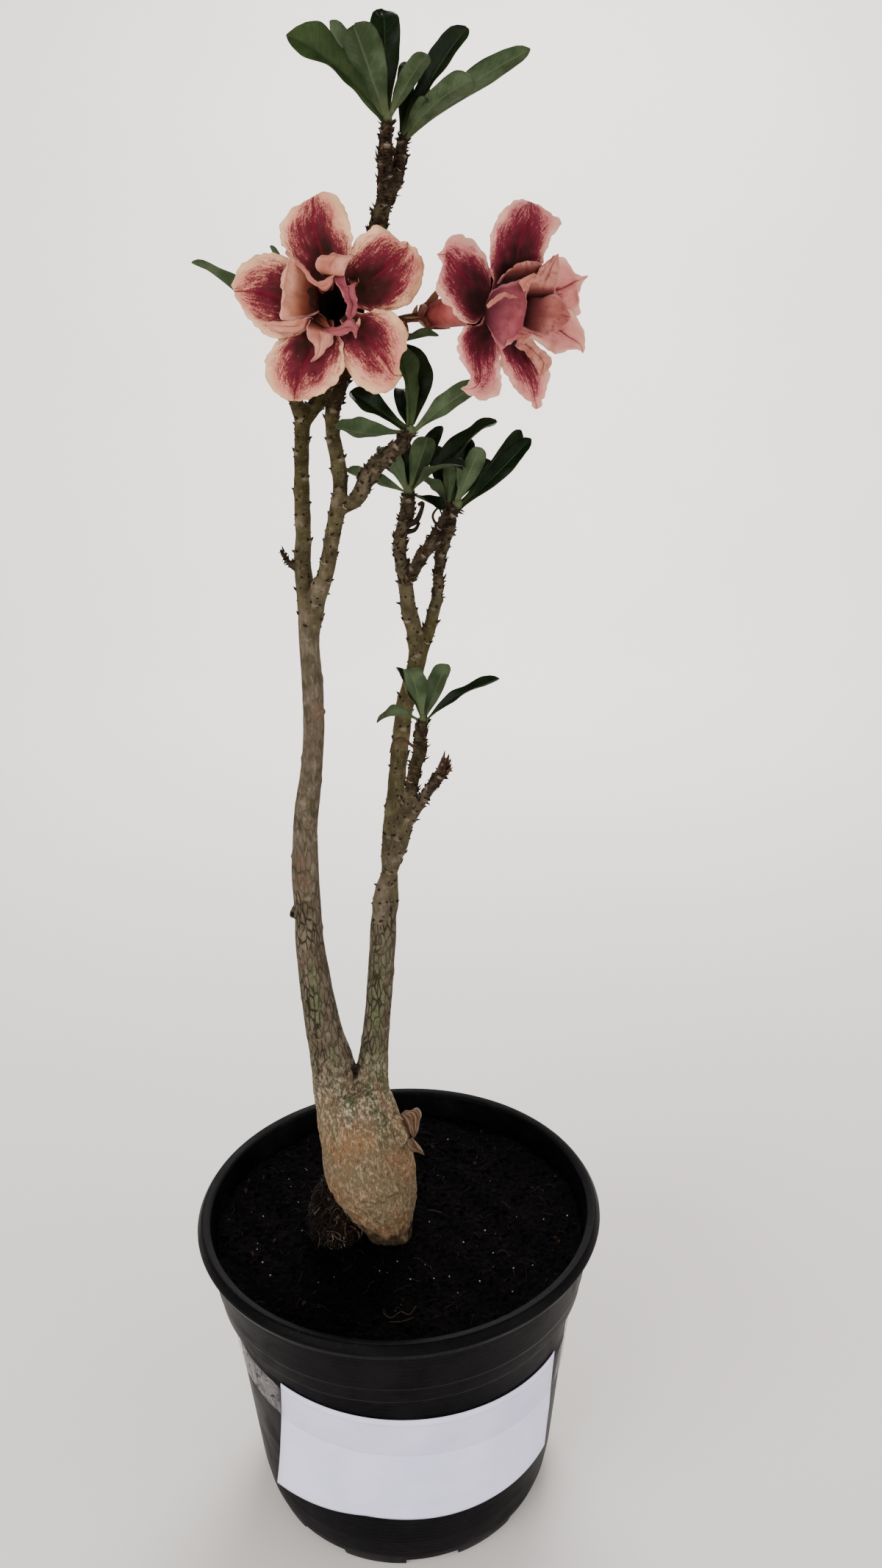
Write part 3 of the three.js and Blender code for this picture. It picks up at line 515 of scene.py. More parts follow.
def bark_material():
    """Bark: netted tan on the swollen base, cracked grey on the trunks, olive and brown higher up."""
    s = Shader("bark", Specular_IOR_Level=0.05)
    place = s.position()
    mottle = s.noise(place, 7.5, 5, 0.6)
    fine = s.noise(place, 1.5, 4, 0.65)
    grit = s.noise(place, 0.45, 2, 0.7)
    streak = s.noise(s.position((1, 1, 3.2)), 1.7, 4, 0.62)
    # Trunks: grey plates between short dark cracks that run up the stem.
    grey = s.graded(mottle, 0.36, 0.68, (0.068, 0.053, 0.034), (0.125, 0.1, 0.072))
    grey = s.graded(streak, 0.5, 0.7, grey, (0.19, 0.158, 0.12), 0.6)
    olive = s.graded(mottle, 0.35, 0.68, (0.022, 0.0195, 0.0027), (0.057, 0.051, 0.0095))
    olive = s.graded(streak, 0.5, 0.75, olive, (0.075, 0.066, 0.026), 0.4)
    scales = s.noise(s.position((3.2, 3.2, 1)), 0.75, 3, 0.6, 0.3)
    olive = s.graded(scales, 0.6, 0.7, olive, (0.135, 0.105, 0.06), 0.75)
    olive = s.graded(scales, 0.36, 0.27, olive, (0.009, 0.0065, 0.003), 0.85)
    colour = s.mix(s.attribute("green"), grey, olive)
    tan = s.graded(s.noise(place, 15, 4, 0.6), 0.42, 0.62, (0.152, 0.108, 0.059), (0.212, 0.116, 0.054))
    colour = s.mix(s.attribute("tan"), colour, tan)
    moss = s.graded(fine, 0.35, 0.65, (0.042, 0.053, 0.023), (0.105, 0.12, 0.062))
    colour = s.mix(s.attribute("moss"), colour, moss)
    edges = s.cells(s.position((1, 1, 3.2)), 2.0)
    broken = s.between(s.noise(s.position((1, 1, 2.0)), 2.6, 2, 0.5), 0.32, 0.44)
    crack = s.between(edges, 0.13, 0.03) * broken * s.attribute("cracked")
    colour = s.mix(crack * 0.9, colour, (0.014, 0.011, 0.006))
    # Swollen base: cream ridges over hollows painted darker as shade, with frayed borders.
    fray = s.noise(s.position((1, 1, 2.7)), 0.82, 3, 0.6, 0.6)
    level = s.attribute("net") * 0.22 + fray * 0.78
    netted = s.attribute("netted")
    ridge = s.between(level, 0.475, 0.56) * netted
    hollow = s.between(level, 0.45, 0.36) * netted
    crest = s.graded(mottle, 0.3, 0.7, (0.27, 0.205, 0.13), (0.37, 0.3, 0.21))
    colour = s.mix(ridge * s.attribute("crest"), colour, crest)
    # Painted shade in the hollows between the ridges, moss-green where there is moss.
    shade = s.mix(s.attribute("moss"), (0.05, 0.031, 0.015), (0.02, 0.026, 0.008))
    colour = s.mix(hollow * 0.7, colour, shade)
    colour = s.graded(grit, 0.35, 0.75, colour, (0.03, 0.022, 0.013), 0.3)
    brown = s.graded(scales, 0.42, 0.6, (0.0045, 0.0024, 0.0015), (0.026, 0.0155, 0.0088))
    brown = s.graded(scales, 0.6, 0.68, brown, (0.095, 0.066, 0.042), 0.6)
    colour = s.mix(s.attribute("brown"), colour, brown)
    colour = s.mix(s.attribute("scar"), colour, s.mix(fine, (0.1, 0.075, 0.048), (0.2, 0.155, 0.11)))
    colour = s.mix(s.attribute("rust"), colour, (0.1, 0.04, 0.024))
    colour = s.mix(s.attribute("dark"), colour, (0.006, 0.0045, 0.0035))
    relief = fine * 0.5 + streak * 0.4 + ridge * 0.7 - crack * 1.2
    return s.finish(colour, s.between(fine, 0.3, 0.7, 0.7, 0.94), s.bump(relief, 0.5))


def flake_material():
    """Dried bracts and stalk remains: dark brown, some reddish or tan; leaf scars are pale."""
    s = Shader("dry_flakes", Specular_IOR_Level=0.12)
    grain = s.noise(s.position((1, 1, 2)), 1.0, 3)
    dark = s.mix(grain, (0.0035, 0.0018, 0.0012), (0.016, 0.008, 0.0048))
    warm = s.mix(grain, (0.05, 0.018, 0.009), (0.23, 0.125, 0.066))
    colour = s.mix(s.attribute("tint"), dark, warm)
    colour = s.mix(s.attribute("pale"), colour, s.mix(grain, (0.1, 0.08, 0.055), (0.26, 0.21, 0.155)))
    return s.finish(colour, 0.78, s.bump(grain, 0.2))


def leaf_material():
    """Leaf: dark and glossy above with a paler midrib and side veins, and matte grey-green below."""
    s = Shader("leaf", Specular_IOR_Level=0.06)
    place = s.position()
    across = s.attribute("across")
    along = s.attribute("along")
    off_rib = s.math("ABSOLUTE", across)
    mottle = s.noise(place, 9, 4, 0.55)
    above = s.graded(mottle, 0.34, 0.68, (0.0011, 0.0038, 0.0009), (0.0042, 0.0098, 0.0025))
    above = s.graded(along, 0.3, 0.0, above, (0.03, 0.043, 0.012), 0.5)
    lit = s.graded(mottle, 0.34, 0.68, (0.017, 0.03, 0.0085), (0.034, 0.051, 0.0175))
    above = s.mix(s.attribute("lit"), above, lit)
    veins = s.math("SINE", along * 92.0 + off_rib * -13.0)
    veins = s.between(veins, 0.82, 1.0)
    above = s.mix(veins * 0.15, above, (0.016, 0.03, 0.01))
    rib = s.between(off_rib, 0.06, 0.02)
    above = s.mix(rib * 0.5, above, (0.036, 0.055, 0.022))
    below = s.graded(mottle, 0.34, 0.68, (0.028, 0.043, 0.018), (0.062, 0.085, 0.043))
    below = s.mix(veins * 0.12, below, (0.016, 0.027, 0.011))
    below = s.mix(s.between(off_rib, 0.07, 0.03) * 0.6, below, (0.075, 0.09, 0.045))
    below = s.graded(along, 0.22, 0.0, below, (0.085, 0.095, 0.042), 0.6)
    under = s.attribute("under")
    colour = s.mix(under, above, below)
    colour = s.graded(off_rib, 0.955, 1.0, colour, (0.036, 0.025, 0.014), 0.45)
    stub = s.mix(mottle, (0.006, 0.0034, 0.0022), (0.024, 0.014, 0.008))
    colour = s.mix(s.attribute("bark"), colour, stub)
    rough = s.between(under, 0.0, 1.0, 0.36, 0.7)
    relief = veins * 0.4 + s.noise(place, 1.6, 3) * 0.5
    return s.finish(colour, rough, s.bump(relief, 0.14))


def petal_material():
    """Petal: cream and pink margins, and a maroon heart that breaks up outwards into fine streaks."""
    s = Shader("petal", Specular_IOR_Level=0.03, Sheen_Weight=0.015, Sheen_Roughness=0.5)
    place = s.position()
    across = s.attribute("across")
    along = s.attribute("along")
    seed = s.attribute("seed")
    reach = s.attribute("reach")
    off_rib = s.math("ABSOLUTE", across)
    fan = s.vector(across * s.attribute("spread"), along * 3.0, seed)
    streaks = s.noise(fan, 0.34, 6, 0.72, 0.5)
    broad = s.noise(s.vector(across, along * 2.0, seed), 0.45, 3, 0.55)
    grain = s.noise(place, 0.6, 3, 0.7)
    blush = s.noise(place, 13, 3, 0.5)
    # How far out the maroon heart reaches: least at the margins, most along the midrib.
    heart = reach - s.math("POWER", off_rib, 2.2) * 0.7
    depth = heart - along + (broad - 0.5) * 0.6
    rag = streaks - 0.5 + (grain - 0.5) * 0.55
    mark = depth * 2.8 + rag * 3.8
    ink = s.between(mark, -0.75, 0.65) * s.attribute("stain")
    tone = s.attribute("tone")
    margin = s.math("MAXIMUM", s.between(off_rib, 0.6, 0.95), s.between(along, 0.8, 1.0))
    warm = s.mix(margin, s.mix(blush, (0.55, 0.19, 0.13), (0.66, 0.32, 0.19)), (0.73, 0.44, 0.24))
    cool = s.mix(margin, s.mix(blush, (0.45, 0.13, 0.14), (0.57, 0.22, 0.2)), (0.63, 0.3, 0.26))
    ground = s.mix(tone, warm, cool)
    wine = s.graded(depth, -0.25, 0.18, (0.34, 0.045, 0.085), (0.1, 0.0052, 0.018))
    wine = s.graded(depth, 0.16, 0.56, wine, (0.006, 0.0004, 0.001))
    colour = s.mix(ink, ground, wine)
    rib = s.between(off_rib, 0.075, 0.015) * s.attribute("ribbed")
    colour = s.mix(rib * 0.8, colour, (0.12, 0.0045, 0.018))
    colour = s.mix(s.attribute("point"), colour, (0.32, 0.013, 0.045))
    lobe_warm = s.graded(blush, 0.38, 0.62, (0.51, 0.2, 0.125), (0.63, 0.3, 0.2))
    lobe_cool = s.graded(blush, 0.38, 0.62, (0.185, 0.032, 0.046), (0.24, 0.062, 0.074))
    inner = s.mix(tone, lobe_warm, lobe_cool)
    veins = s.noise(s.vector(across * 3.0, along, seed), 0.3, 3, 0.6)
    inner = s.graded(veins, 0.5, 0.72, inner, s.mix(tone, (0.36, 0.09, 0.05), (0.2, 0.025, 0.05)), 0.35)
    freckles = s.between(s.noise(place, 2.6, 5, 0.7), 0.5, 0.66) * s.attribute("stain")
    inner = s.mix(freckles, inner, (0.15, 0.02, 0.04))
    # Painted shade on the inner lobes: brown, then near black, towards their roots near the throat.
    root = along / s.math("MAXIMUM", reach, 0.001)
    inner = s.graded(root, 1.0, 0.45, inner, s.mix(tone, (0.16, 0.042, 0.022), (0.105, 0.02, 0.032)))
    inner = s.graded(root, 0.65, 0.05, inner, (0.012, 0.0018, 0.0014))
    edge = s.math("MAXIMUM", s.between(off_rib, 0.82, 1.0), s.between(along, 0.9, 1.0))
    inner = s.mix(edge * 0.6, inner, s.mix(tone, (0.63, 0.3, 0.24), (0.55, 0.17, 0.19)))
    inner = s.mix(rib * 0.5, inner, (0.36, 0.03, 0.06))
    colour = s.mix(s.attribute("inner"), colour, inner)
    back = s.mix(0.55, colour, (0.45, 0.15, 0.13))
    colour = s.mix(s.attribute("under"), colour, back)
    # The inside of the tube and of its flare is painted near black, as shade deep in the throat.
    throat = s.graded(blush, 0.4, 0.6, (0.003, 0.0004, 0.0004), (0.011, 0.0014, 0.001))
    colour = s.mix(s.attribute("throat"), colour, throat)
    skin = s.graded(blush, 0.35, 0.65, (0.2, 0.026, 0.026), (0.36, 0.095, 0.083))
    skin = s.mix(along * 0.8, skin, (0.42, 0.16, 0.135))
    colour = s.mix(s.attribute("tube"), colour, skin)
    relief = streaks * 0.6 + rib * -0.5
    return s.finish(colour, 0.62, s.bump(relief, 0.22))


def calyx_material():
    """Calyx: dry pinkish-brown bracts, and an olive stalk."""
    s = Shader("calyx", Specular_IOR_Level=0.15)
    grain = s.noise(s.position(), 3.2, 4, 0.6)
    colour = s.graded(grain, 0.35, 0.65, (0.15, 0.036, 0.028), (0.33, 0.115, 0.09))
    colour = s.mix(s.attribute("tan"), colour, s.mix(grain, (0.28, 0.17, 0.085), (0.46, 0.29, 0.17)))
    colour = s.mix(s.attribute("green"), colour, s.mix(grain, (0.03, 0.021, 0.009), (0.085, 0.05, 0.024)))
    return s.finish(colour, 0.72, s.bump(s.noise(s.position(), 0.9, 3), 0.15))


def floor_material():
    s = Shader("floor", Specular_IOR_Level=0.2)
    colour = s.mix(s.noise(s.position(), 260, 3, 0.5), (0.74, 0.7, 0.67), (0.78, 0.745, 0.715))
    return s.finish(colour, 0.85)


POT_MATERIAL = pot_material()
SOIL_MATERIAL = soil_material()
FIBRE_MATERIAL = fibre_material()
PERLITE_MATERIAL = perlite_material()
PAPER_MATERIAL = paper_material()
TAPE_MATERIAL = tape_material()
BARK_MATERIAL = bark_material()
FLAKE_MATERIAL = flake_material()
LEAF_MATERIAL = leaf_material()
PETAL_MATERIAL = petal_material()
CALYX_MATERIAL = calyx_material()

# ---------------------------------------------------------------- pot

POT_SIDES = 288
POT_OUTLINE = [
    (0, 0), (40, 0), (41.5, 4.5), (60, 4.5), (61.5, 0), (71.4, 0), (74.6, 9), (76.6, 20), (85.4, 105),
    (86.6, 116.5), (90.8, 119), (91.9, 127), (92.5, 128), (94.6, 147), (98, 149.5), (100, 153.5),
    (97.5, 157.4),
    (93.3, 156), (91.6, 144), (84.7, 116), (74.6, 20), (70, 7.5), (0, 7.5),
]
NOTCHES = 8
NOTCH_FIRST = math.radians(-79)
NOTCH_SIZE = (22, 26, 9)
NOTCH_RADIUS = 71.5
DRAIN_RADIUS = 4.5
DRAIN_AXIS = np.array([(50.5, 0, -3.0), (50.5, 0, 12.0)])
DRAIN_SIDES = 24
CORNER_RADIUS = 1.1
SHARP_DEGREES = 32


def box(size):
    corners = [(x, y, z) for x in (-0.5, 0.5) for y in (-0.5, 0.5) for z in (-0.5, 0.5)]
    faces = [(0, 1, 3, 2), (4, 6, 7, 5), (0, 4, 5, 1), (2, 3, 7, 6), (0, 2, 6, 4), (1, 5, 7, 3)]
    return np.array(corners) * size, faces


def turned(points, angle):
    c, s = math.cos(angle), math.sin(angle)
    return np.asarray(points) @ np.array([[c, s, 0], [-s, c, 0], [0, 0, 1]])


def make_pot():
    points, faces = lathe(rounded(POT_OUTLINE, CORNER_RADIUS), POT_SIDES)
    pot = loose_object(mesh_from("pot_shell", points, faces))
    cutters = Pile()
    for k in range(NOTCHES):
        angle = NOTCH_FIRST + k * 2 * math.pi / NOTCHES
        corners, sides = box(NOTCH_SIZE)
        cutters.add(turned(corners + (NOTCH_RADIUS, 0, 0), angle), sides)
        hole, sides = tube(DRAIN_AXIS, [DRAIN_RADIUS] * 2, DRAIN_SIDES)
        cutters.add(turned(hole, angle + math.pi / NOTCHES), sides)
    cutter = loose_object(mesh_from("cutters", np.concatenate(cutters.points), cutters.faces))
    cut = pot.modifiers.new("cut", "BOOLEAN")
    cut.operation = "DIFFERENCE"
    cut.object = cutter
    mesh = applied(pot)
    bpy.data.objects.remove(cutter)
    finish_piece(mesh, "pot_shell", POT_MATERIAL, "pot", SHARP_DEGREES)


# ---------------------------------------------------------------- label and tape

WALL_FOOT = (76.6, 20)
WALL_TOP = (85.4, 105)
WALL_SLOPE = (WALL_TOP[0] - WALL_FOOT[0]) / (WALL_TOP[1] - WALL_FOOT[1])
LABEL_THICKNESS = 0.25
LABEL_OFFSET = 0.5
LABEL_TOP = {"left": -39, "right": 60.5, "left_height": 107.5, "right_height": 99}
LABEL_BOTTOM = {"left": -45, "right": 63.5, "left_height": 41, "right_height": 33.5}
LABEL_LOOSE_SHARE = 0.3
LABEL_LIFT = 6.2
LABEL_WAVE = 0.35
LABEL_GRID = (56, 130)
TAPE_THICKNESS = 0.12
TAPE_REACH = 112
TAPE_HALF = 9.6
TAPE_MIDDLE = 91.5
TAPE_SLOPE = -0.095
TAPE_GRID = (22, 260)
TAPE_OFF_LABEL = 0.75
TAPE_ON_LABEL = 1.35


def on_wall(degrees, height, stand_off):
    radius = WALL_FOOT[0] + WALL_SLOPE * (height - WALL_FOOT[1]) + stand_off
    angle = np.radians(degrees)
    return np.stack([radius * np.sin(angle), -radius * np.cos(angle), height], axis=-1)


def make_label():
    down, share = np.meshgrid(*[np.linspace(0, 1, count) for count in LABEL_GRID], indexing="ij")

    def ruled(left, right):
        top, bottom = [row[left] + (row[right] - row[left]) * share for row in (LABEL_TOP, LABEL_BOTTOM)]
        return top * (1 - down) + bottom * down

    degrees = ruled("left", "right")
    height = ruled("left_height", "right_height")
    loose = np.maximum(0, 1 - share / LABEL_LOOSE_SHARE)
    waves = noise_at(np.stack([share * 150, down * 66, 0 * down], axis=-1), (34, 20, 1), 3.7)
    lift = LABEL_OFFSET + LABEL_LIFT * loose * down * down
    lift = lift + LABEL_WAVE * (1 + waves) * smoothstep(0.28, 0.6, down)
    grid = on_wall(degrees, height, lift)
    points, faces, _ = blade(grid, LABEL_THICKNESS, 0)
    nearest = np.maximum(np.abs(2 * share - 1), np.abs(2 * down - 1)).reshape(-1)
    pile = Pile("across")
    pile.add(points, faces, across=np.tile(nearest, 2))
    pile.piece("label_sheet", PAPER_MATERIAL, "label_paper", "label_paper")


def make_tape():
    """A band round the wall with torn ends. It's smooth over the label and crinkled beside it."""
    rows, columns = TAPE_GRID
    edge, degrees = np.meshgrid(
        np.linspace(1, -1, rows), np.linspace(-TAPE_REACH, TAPE_REACH, columns), indexing="ij"
    )
    end = np.sign(degrees)
    near_end = smoothstep(TAPE_REACH - 5, TAPE_REACH, np.abs(degrees))
    torn = noise_at(np.stack([8 * end, edge * TAPE_HALF, 0 * edge], axis=-1), (9, 2.6, 1), 6.2)
    degrees = degrees + (1.6 * torn + 1.5 * edge * end) * near_end
    height = TAPE_MIDDLE + TAPE_SLOPE * degrees + TAPE_HALF * edge
    over = smoothstep(-43.5, -38.5, degrees) * smoothstep(67, 62, degrees)
    flat = np.stack([degrees * 1.5, edge * TAPE_HALF, 0 * edge], axis=-1)
    crinkle = 0.28 * noise_at(flat, (5, 9, 1), 1.3) + 0.12 * noise_at(flat, (2.2, 4, 1), 8.1)
    stand_off = TAPE_OFF_LABEL + (TAPE_ON_LABEL - TAPE_OFF_LABEL) * over + crinkle * (1 - 0.8 * over)
    grid = on_wall(degrees, height, stand_off)
    points, faces, _ = blade(grid, TAPE_THICKNESS, 0)
    free, off_middle = [np.tile(values.reshape(-1), 2) for values in (1 - over, np.abs(edge))]
    pile = Pile("free", "edge")
    pile.add(points, faces, free=free, edge=off_middle)
    pile.piece("tape_band", TAPE_MATERIAL, "clear_tape", "label_tape")


# ---------------------------------------------------------------- soil

SOIL_TOP = 144
SOIL_RADIUS = 91.1
SOIL_DEPTH = 7
SOIL_SIDES = 360
SOIL_COARSE_SHARE = 0.45
GRAIN_STEP = 0.95
CRUMBS = 1500
CRUMB_REACH = 89.5
SPECK_REACH = 88
THREADS = 170
PERLITE = 46
CLUMP_CENTRE = np.array([-30.5, -6, 147])
CLUMP_RADII = np.array([15.0, 17, 30])
CLUMP_GRID = (60, 120)
STRANDS = 1300


def soil_level(x, y):
    return SOIL_TOP + 1.1 * np.sin(x / 9) * np.cos(y / 11) + 0.7 * np.sin(x / 4 + y / 5)


def soil_relief(x, y):
    """Crumbs of several sizes on top of the uneven bed."""
    flat = np.stack([x, y, np.zeros_like(x)], axis=-1)
    lumps = 1 - np.abs(noise_at(flat, 4.6, 2.0)) * 2
    crumbs = 1 - np.abs(noise_at(flat, 2.0, 5.0)) * 2
    return soil_level(x, y) - 0.6 + 0.9 * lumps**2 + 0.55 * crumbs**2


def make_soil_bed():
    rings = int(SOIL_RADIUS / GRAIN_STEP)
    points = [np.array([[0.0, 0.0]])]
    starts = [0, 1]
    sides = []
    for k in range(1, rings + 1):
        radius = SOIL_RADIUS * k / rings
        count = SOIL_SIDES if k > rings * SOIL_COARSE_SHARE else SOIL_SIDES // 2
        angle = np.arange(count) * 2 * math.pi / count
        points.append(np.column_stack([radius * np.sin(angle), -radius * np.cos(angle)]))
        sides.append(count)
        starts.append(starts[-1] + count)
    flat = np.concatenate(points)
    height = soil_relief(flat[:, 0], flat[:, 1])
    outer = starts[-2]
    under = flat[outer:] * 0.985
    total = len(flat)
    solid = np.concatenate([
        np.column_stack([flat, height]),
        np.column_stack([under, np.full(len(under), SOIL_TOP - SOIL_DEPTH)]),
        [[0, 0, SOIL_TOP - SOIL_DEPTH]],
    ])
    faces = [(0, 1 + j, 1 + (j + 1) % sides[0]) for j in range(sides[0])]
    for ring in range(rings - 1):
        a, b = starts[ring + 1], starts[ring + 2]
        inner, outside = sides[ring], sides[ring + 1]
        ratio = outside // inner
        for j in range(inner):
            k = (j + 1) % inner
            run = [b + (j * ratio + n) % outside for n in range(ratio + 1)]
            faces.append((a + j, *run, a + k))
    last = sides[-1]
    for j in range(last):
        k = (j + 1) % last
        faces.append((outer + j, total + j, total + k, outer + k))
        faces.append((total + j, total + last, total + k))
    pile = Pile("tint")
    pile.add(solid, faces)
    pile.piece("soil_bed", SOIL_MATERIAL, "potting_soil", "soil")


# An icosahedron: its corners and its faces.
TALL = (1 + 5**0.5) / 2
LUMP_CORNERS = np.array([
    (0, 1, TALL), (0, -1, TALL), (0, 1, -TALL), (0, -1, -TALL), (1, TALL, 0), (-1, TALL, 0),
    (1, -TALL, 0), (-1, -TALL, 0), (TALL, 0, 1), (-TALL, 0, 1), (TALL, 0, -1), (-TALL, 0, -1),
])
LUMP_FACES = [
    (0, 1, 8), (0, 8, 4), (0, 4, 5), (0, 5, 9), (0, 9, 1), (1, 6, 8), (8, 6, 10), (8, 10, 4), (4, 10, 2),
    (4, 2, 5), (5, 2, 11), (5, 11, 9), (9, 11, 7), (9, 7, 1), (1, 7, 6), (3, 6, 7), (3, 10, 6), (3, 2, 10),
    (3, 11, 2), (3, 7, 11),
]


def lump(centre, size, rng):
    """A small broken lump: an icosahedron with uneven corners."""
    uneven = 1 + rng.uniform(-0.28, 0.28, (12, 1))
    turn = np.array(Euler(rng.uniform(0, 6.3, 3)).to_matrix())
    return np.asarray(centre) + (LUMP_CORNERS / 1.9 * uneven * size) @ turn.T, LUMP_FACES


def on_soil(rng, count, radius):
    """Random places on the soil, outside the swollen base."""
    made = []
    while len(made) < count:
        x, y = rng.uniform(-radius, radius, 2)
        if math.hypot(x, y) < radius and math.hypot(x + 5, y + 10) > 13:
            made.append((x, y))
    return made


def make_soil_detail():
    rng = np.random.default_rng(11)
    crumbs = Pile("tint")
    for x, y in on_soil(rng, CRUMBS, CRUMB_REACH):
        size = 0.35 + 1.15 * rng.random() ** 3
        z = soil_level(x, y) + 0.25 * size + rng.uniform(-0.2, 0.3)
        shape = size * np.array([rng.uniform(0.8, 1.6), 1, rng.uniform(0.5, 0.9)])
        crumb = lump((x, y, z), shape, rng)
        crumbs.add(*crumb, tint=1.0 if rng.random() > 0.965 else 0.15 * rng.random())
    crumbs.piece("soil_crumbs", SOIL_MATERIAL, "potting_soil")
    specks = Pile("tint")
    for x, y in on_soil(rng, PERLITE, SPECK_REACH) + PERLITE_PLACES:
        size = rng.uniform(0.16, 0.42)
        z = soil_level(x, y) + 0.75
        specks.add(*lump((x, y, z), size, rng))
    specks.piece("soil_perlite", PERLITE_MATERIAL, "potting_soil")
    threads = Pile("tint")
    for x, y in on_soil(rng, THREADS, SPECK_REACH):
        made = thread((x, y), rng.uniform(3, 9), rng.uniform(0.09, 0.22), rng)
        threads.add(*made, tint=0.35 * rng.random())
    for route in ROOT_THREADS:
        line = spline(np.array([(x, y, soil_level(x, y) + 0.9 + lift) for x, y, lift in route]), 30)
        threads.add(*tube(line, np.full(30, ROOT_THREAD_RADIUS), 6), tint=0.68)
    threads.piece("soil_threads", FIBRE_MATERIAL, "potting_soil")


def thread(place, length, radius, rng):
    """A short loose root lying on the soil."""
    angle = rng.uniform(0, 2 * math.pi)
    line = []
    x, y = place
    for k in range(9):
        line.append((x, y, soil_level(x, y) + 0.6 + 0.5 * math.sin(k * 0.7)))
        angle += rng.uniform(-0.5, 0.5)
        x += math.cos(angle) * length / 8
        y += math.sin(angle) * length / 8
    return tube(np.array(line), radius * np.linspace(1, 0.4, 9), 5)


PERLITE_PLACES = [
    (-69, -22), (-60, -41), (-37, -45), (-5, -40), (6, -43), (17, -44), (28, -54), (64, -36), (72, -4),
]
ROOT_THREAD_RADIUS = 0.16
# Threads that lie on the soil in plain sight: [x, y, height over its other threads].
ROOT_THREADS = [
    [(-6, -63, 0.0), (-5, -66, 0.6), (-2, -68, 0.5), (2, -66, 0.8), (6, -68, 0.2), (9, -65, 1.4)],
    [(-3, -70, 0.0), (3, -71, 0.4), (8, -70, 0.1)],
    [(14, 4, 0.4), (17, 2.5, 1.2), (21, 1.5, 0.6)],
]


def make_fibre_clump():
    """A rough mound of dead roots and peat against the swollen base, bristling with thin strands."""
    rng = np.random.default_rng(5)
    rings, sides = CLUMP_GRID
    theta = np.linspace(0.02, 0.62 * math.pi, rings)[:, None]
    phi = (np.arange(sides) * 2 * math.pi / sides)[None, :]
    ball = np.stack(
        [np.sin(theta) * np.cos(phi), np.sin(theta) * np.sin(phi), np.cos(theta) + 0 * phi], axis=-1
    )
    rough = 0.9 + 0.14 * noise_at(ball * 10, 4.0, 4.0) + 0.09 * noise_at(ball * 10, 1.4, 9.0)
    rough += 0.06 * noise_at(ball * 10, 0.6, 2.0)
    points = (CLUMP_CENTRE + ball * CLUMP_RADII * rough[..., None]).reshape(-1, 3)
    faces = ring_faces(rings, sides)
    faces.append(tuple(range(sides)))
    faces.append(tuple((rings - 1) * sides + j for j in reversed(range(sides))))
    mound = Pile("tint")
    mound.add(points, faces, tint=0.3)
    mound.piece("fibre_mound", SOIL_MATERIAL, "potting_soil")
    strands = Pile("tint")
    for _ in range(STRANDS):
        height = rng.uniform(-0.15, 1)
        turn = rng.uniform(0, 2 * math.pi)
        level = math.sqrt(1 - height * height)
        out = np.array([math.cos(turn) * level, math.sin(turn) * level, height])
        place = CLUMP_CENTRE + CLUMP_RADII * out * rng.uniform(0.84, 1.0)
        heading = unit(np.cross(out, rng.normal(size=3)) + out * rng.uniform(-0.1, 0.9))
        bend = unit(rng.normal(size=3)) * rng.uniform(0.2, 1.2)
        length = rng.uniform(2.5, 9)
        share = np.linspace(-0.5, 0.5, 9)[:, None]
        line = place + heading * share * length + share**2 * (bend * length * 1.1 - out * 1.2)
        radius = rng.uniform(0.12, 0.36) * np.linspace(1, 0.35, 9)
        pale = smoothstep(-0.4, 0.9, out[0] * 0.8 - out[1] * 0.5)
        tint = rng.random() ** (2.6 - 2.0 * pale)
        strands.add(*tube(line, radius, 5, rng.uniform(0.4, 1)), tint=tint)
    strands.piece("fibre_strands", FIBRE_MATERIAL, "potting_soil")


# ---------------------------------------------------------------- wood

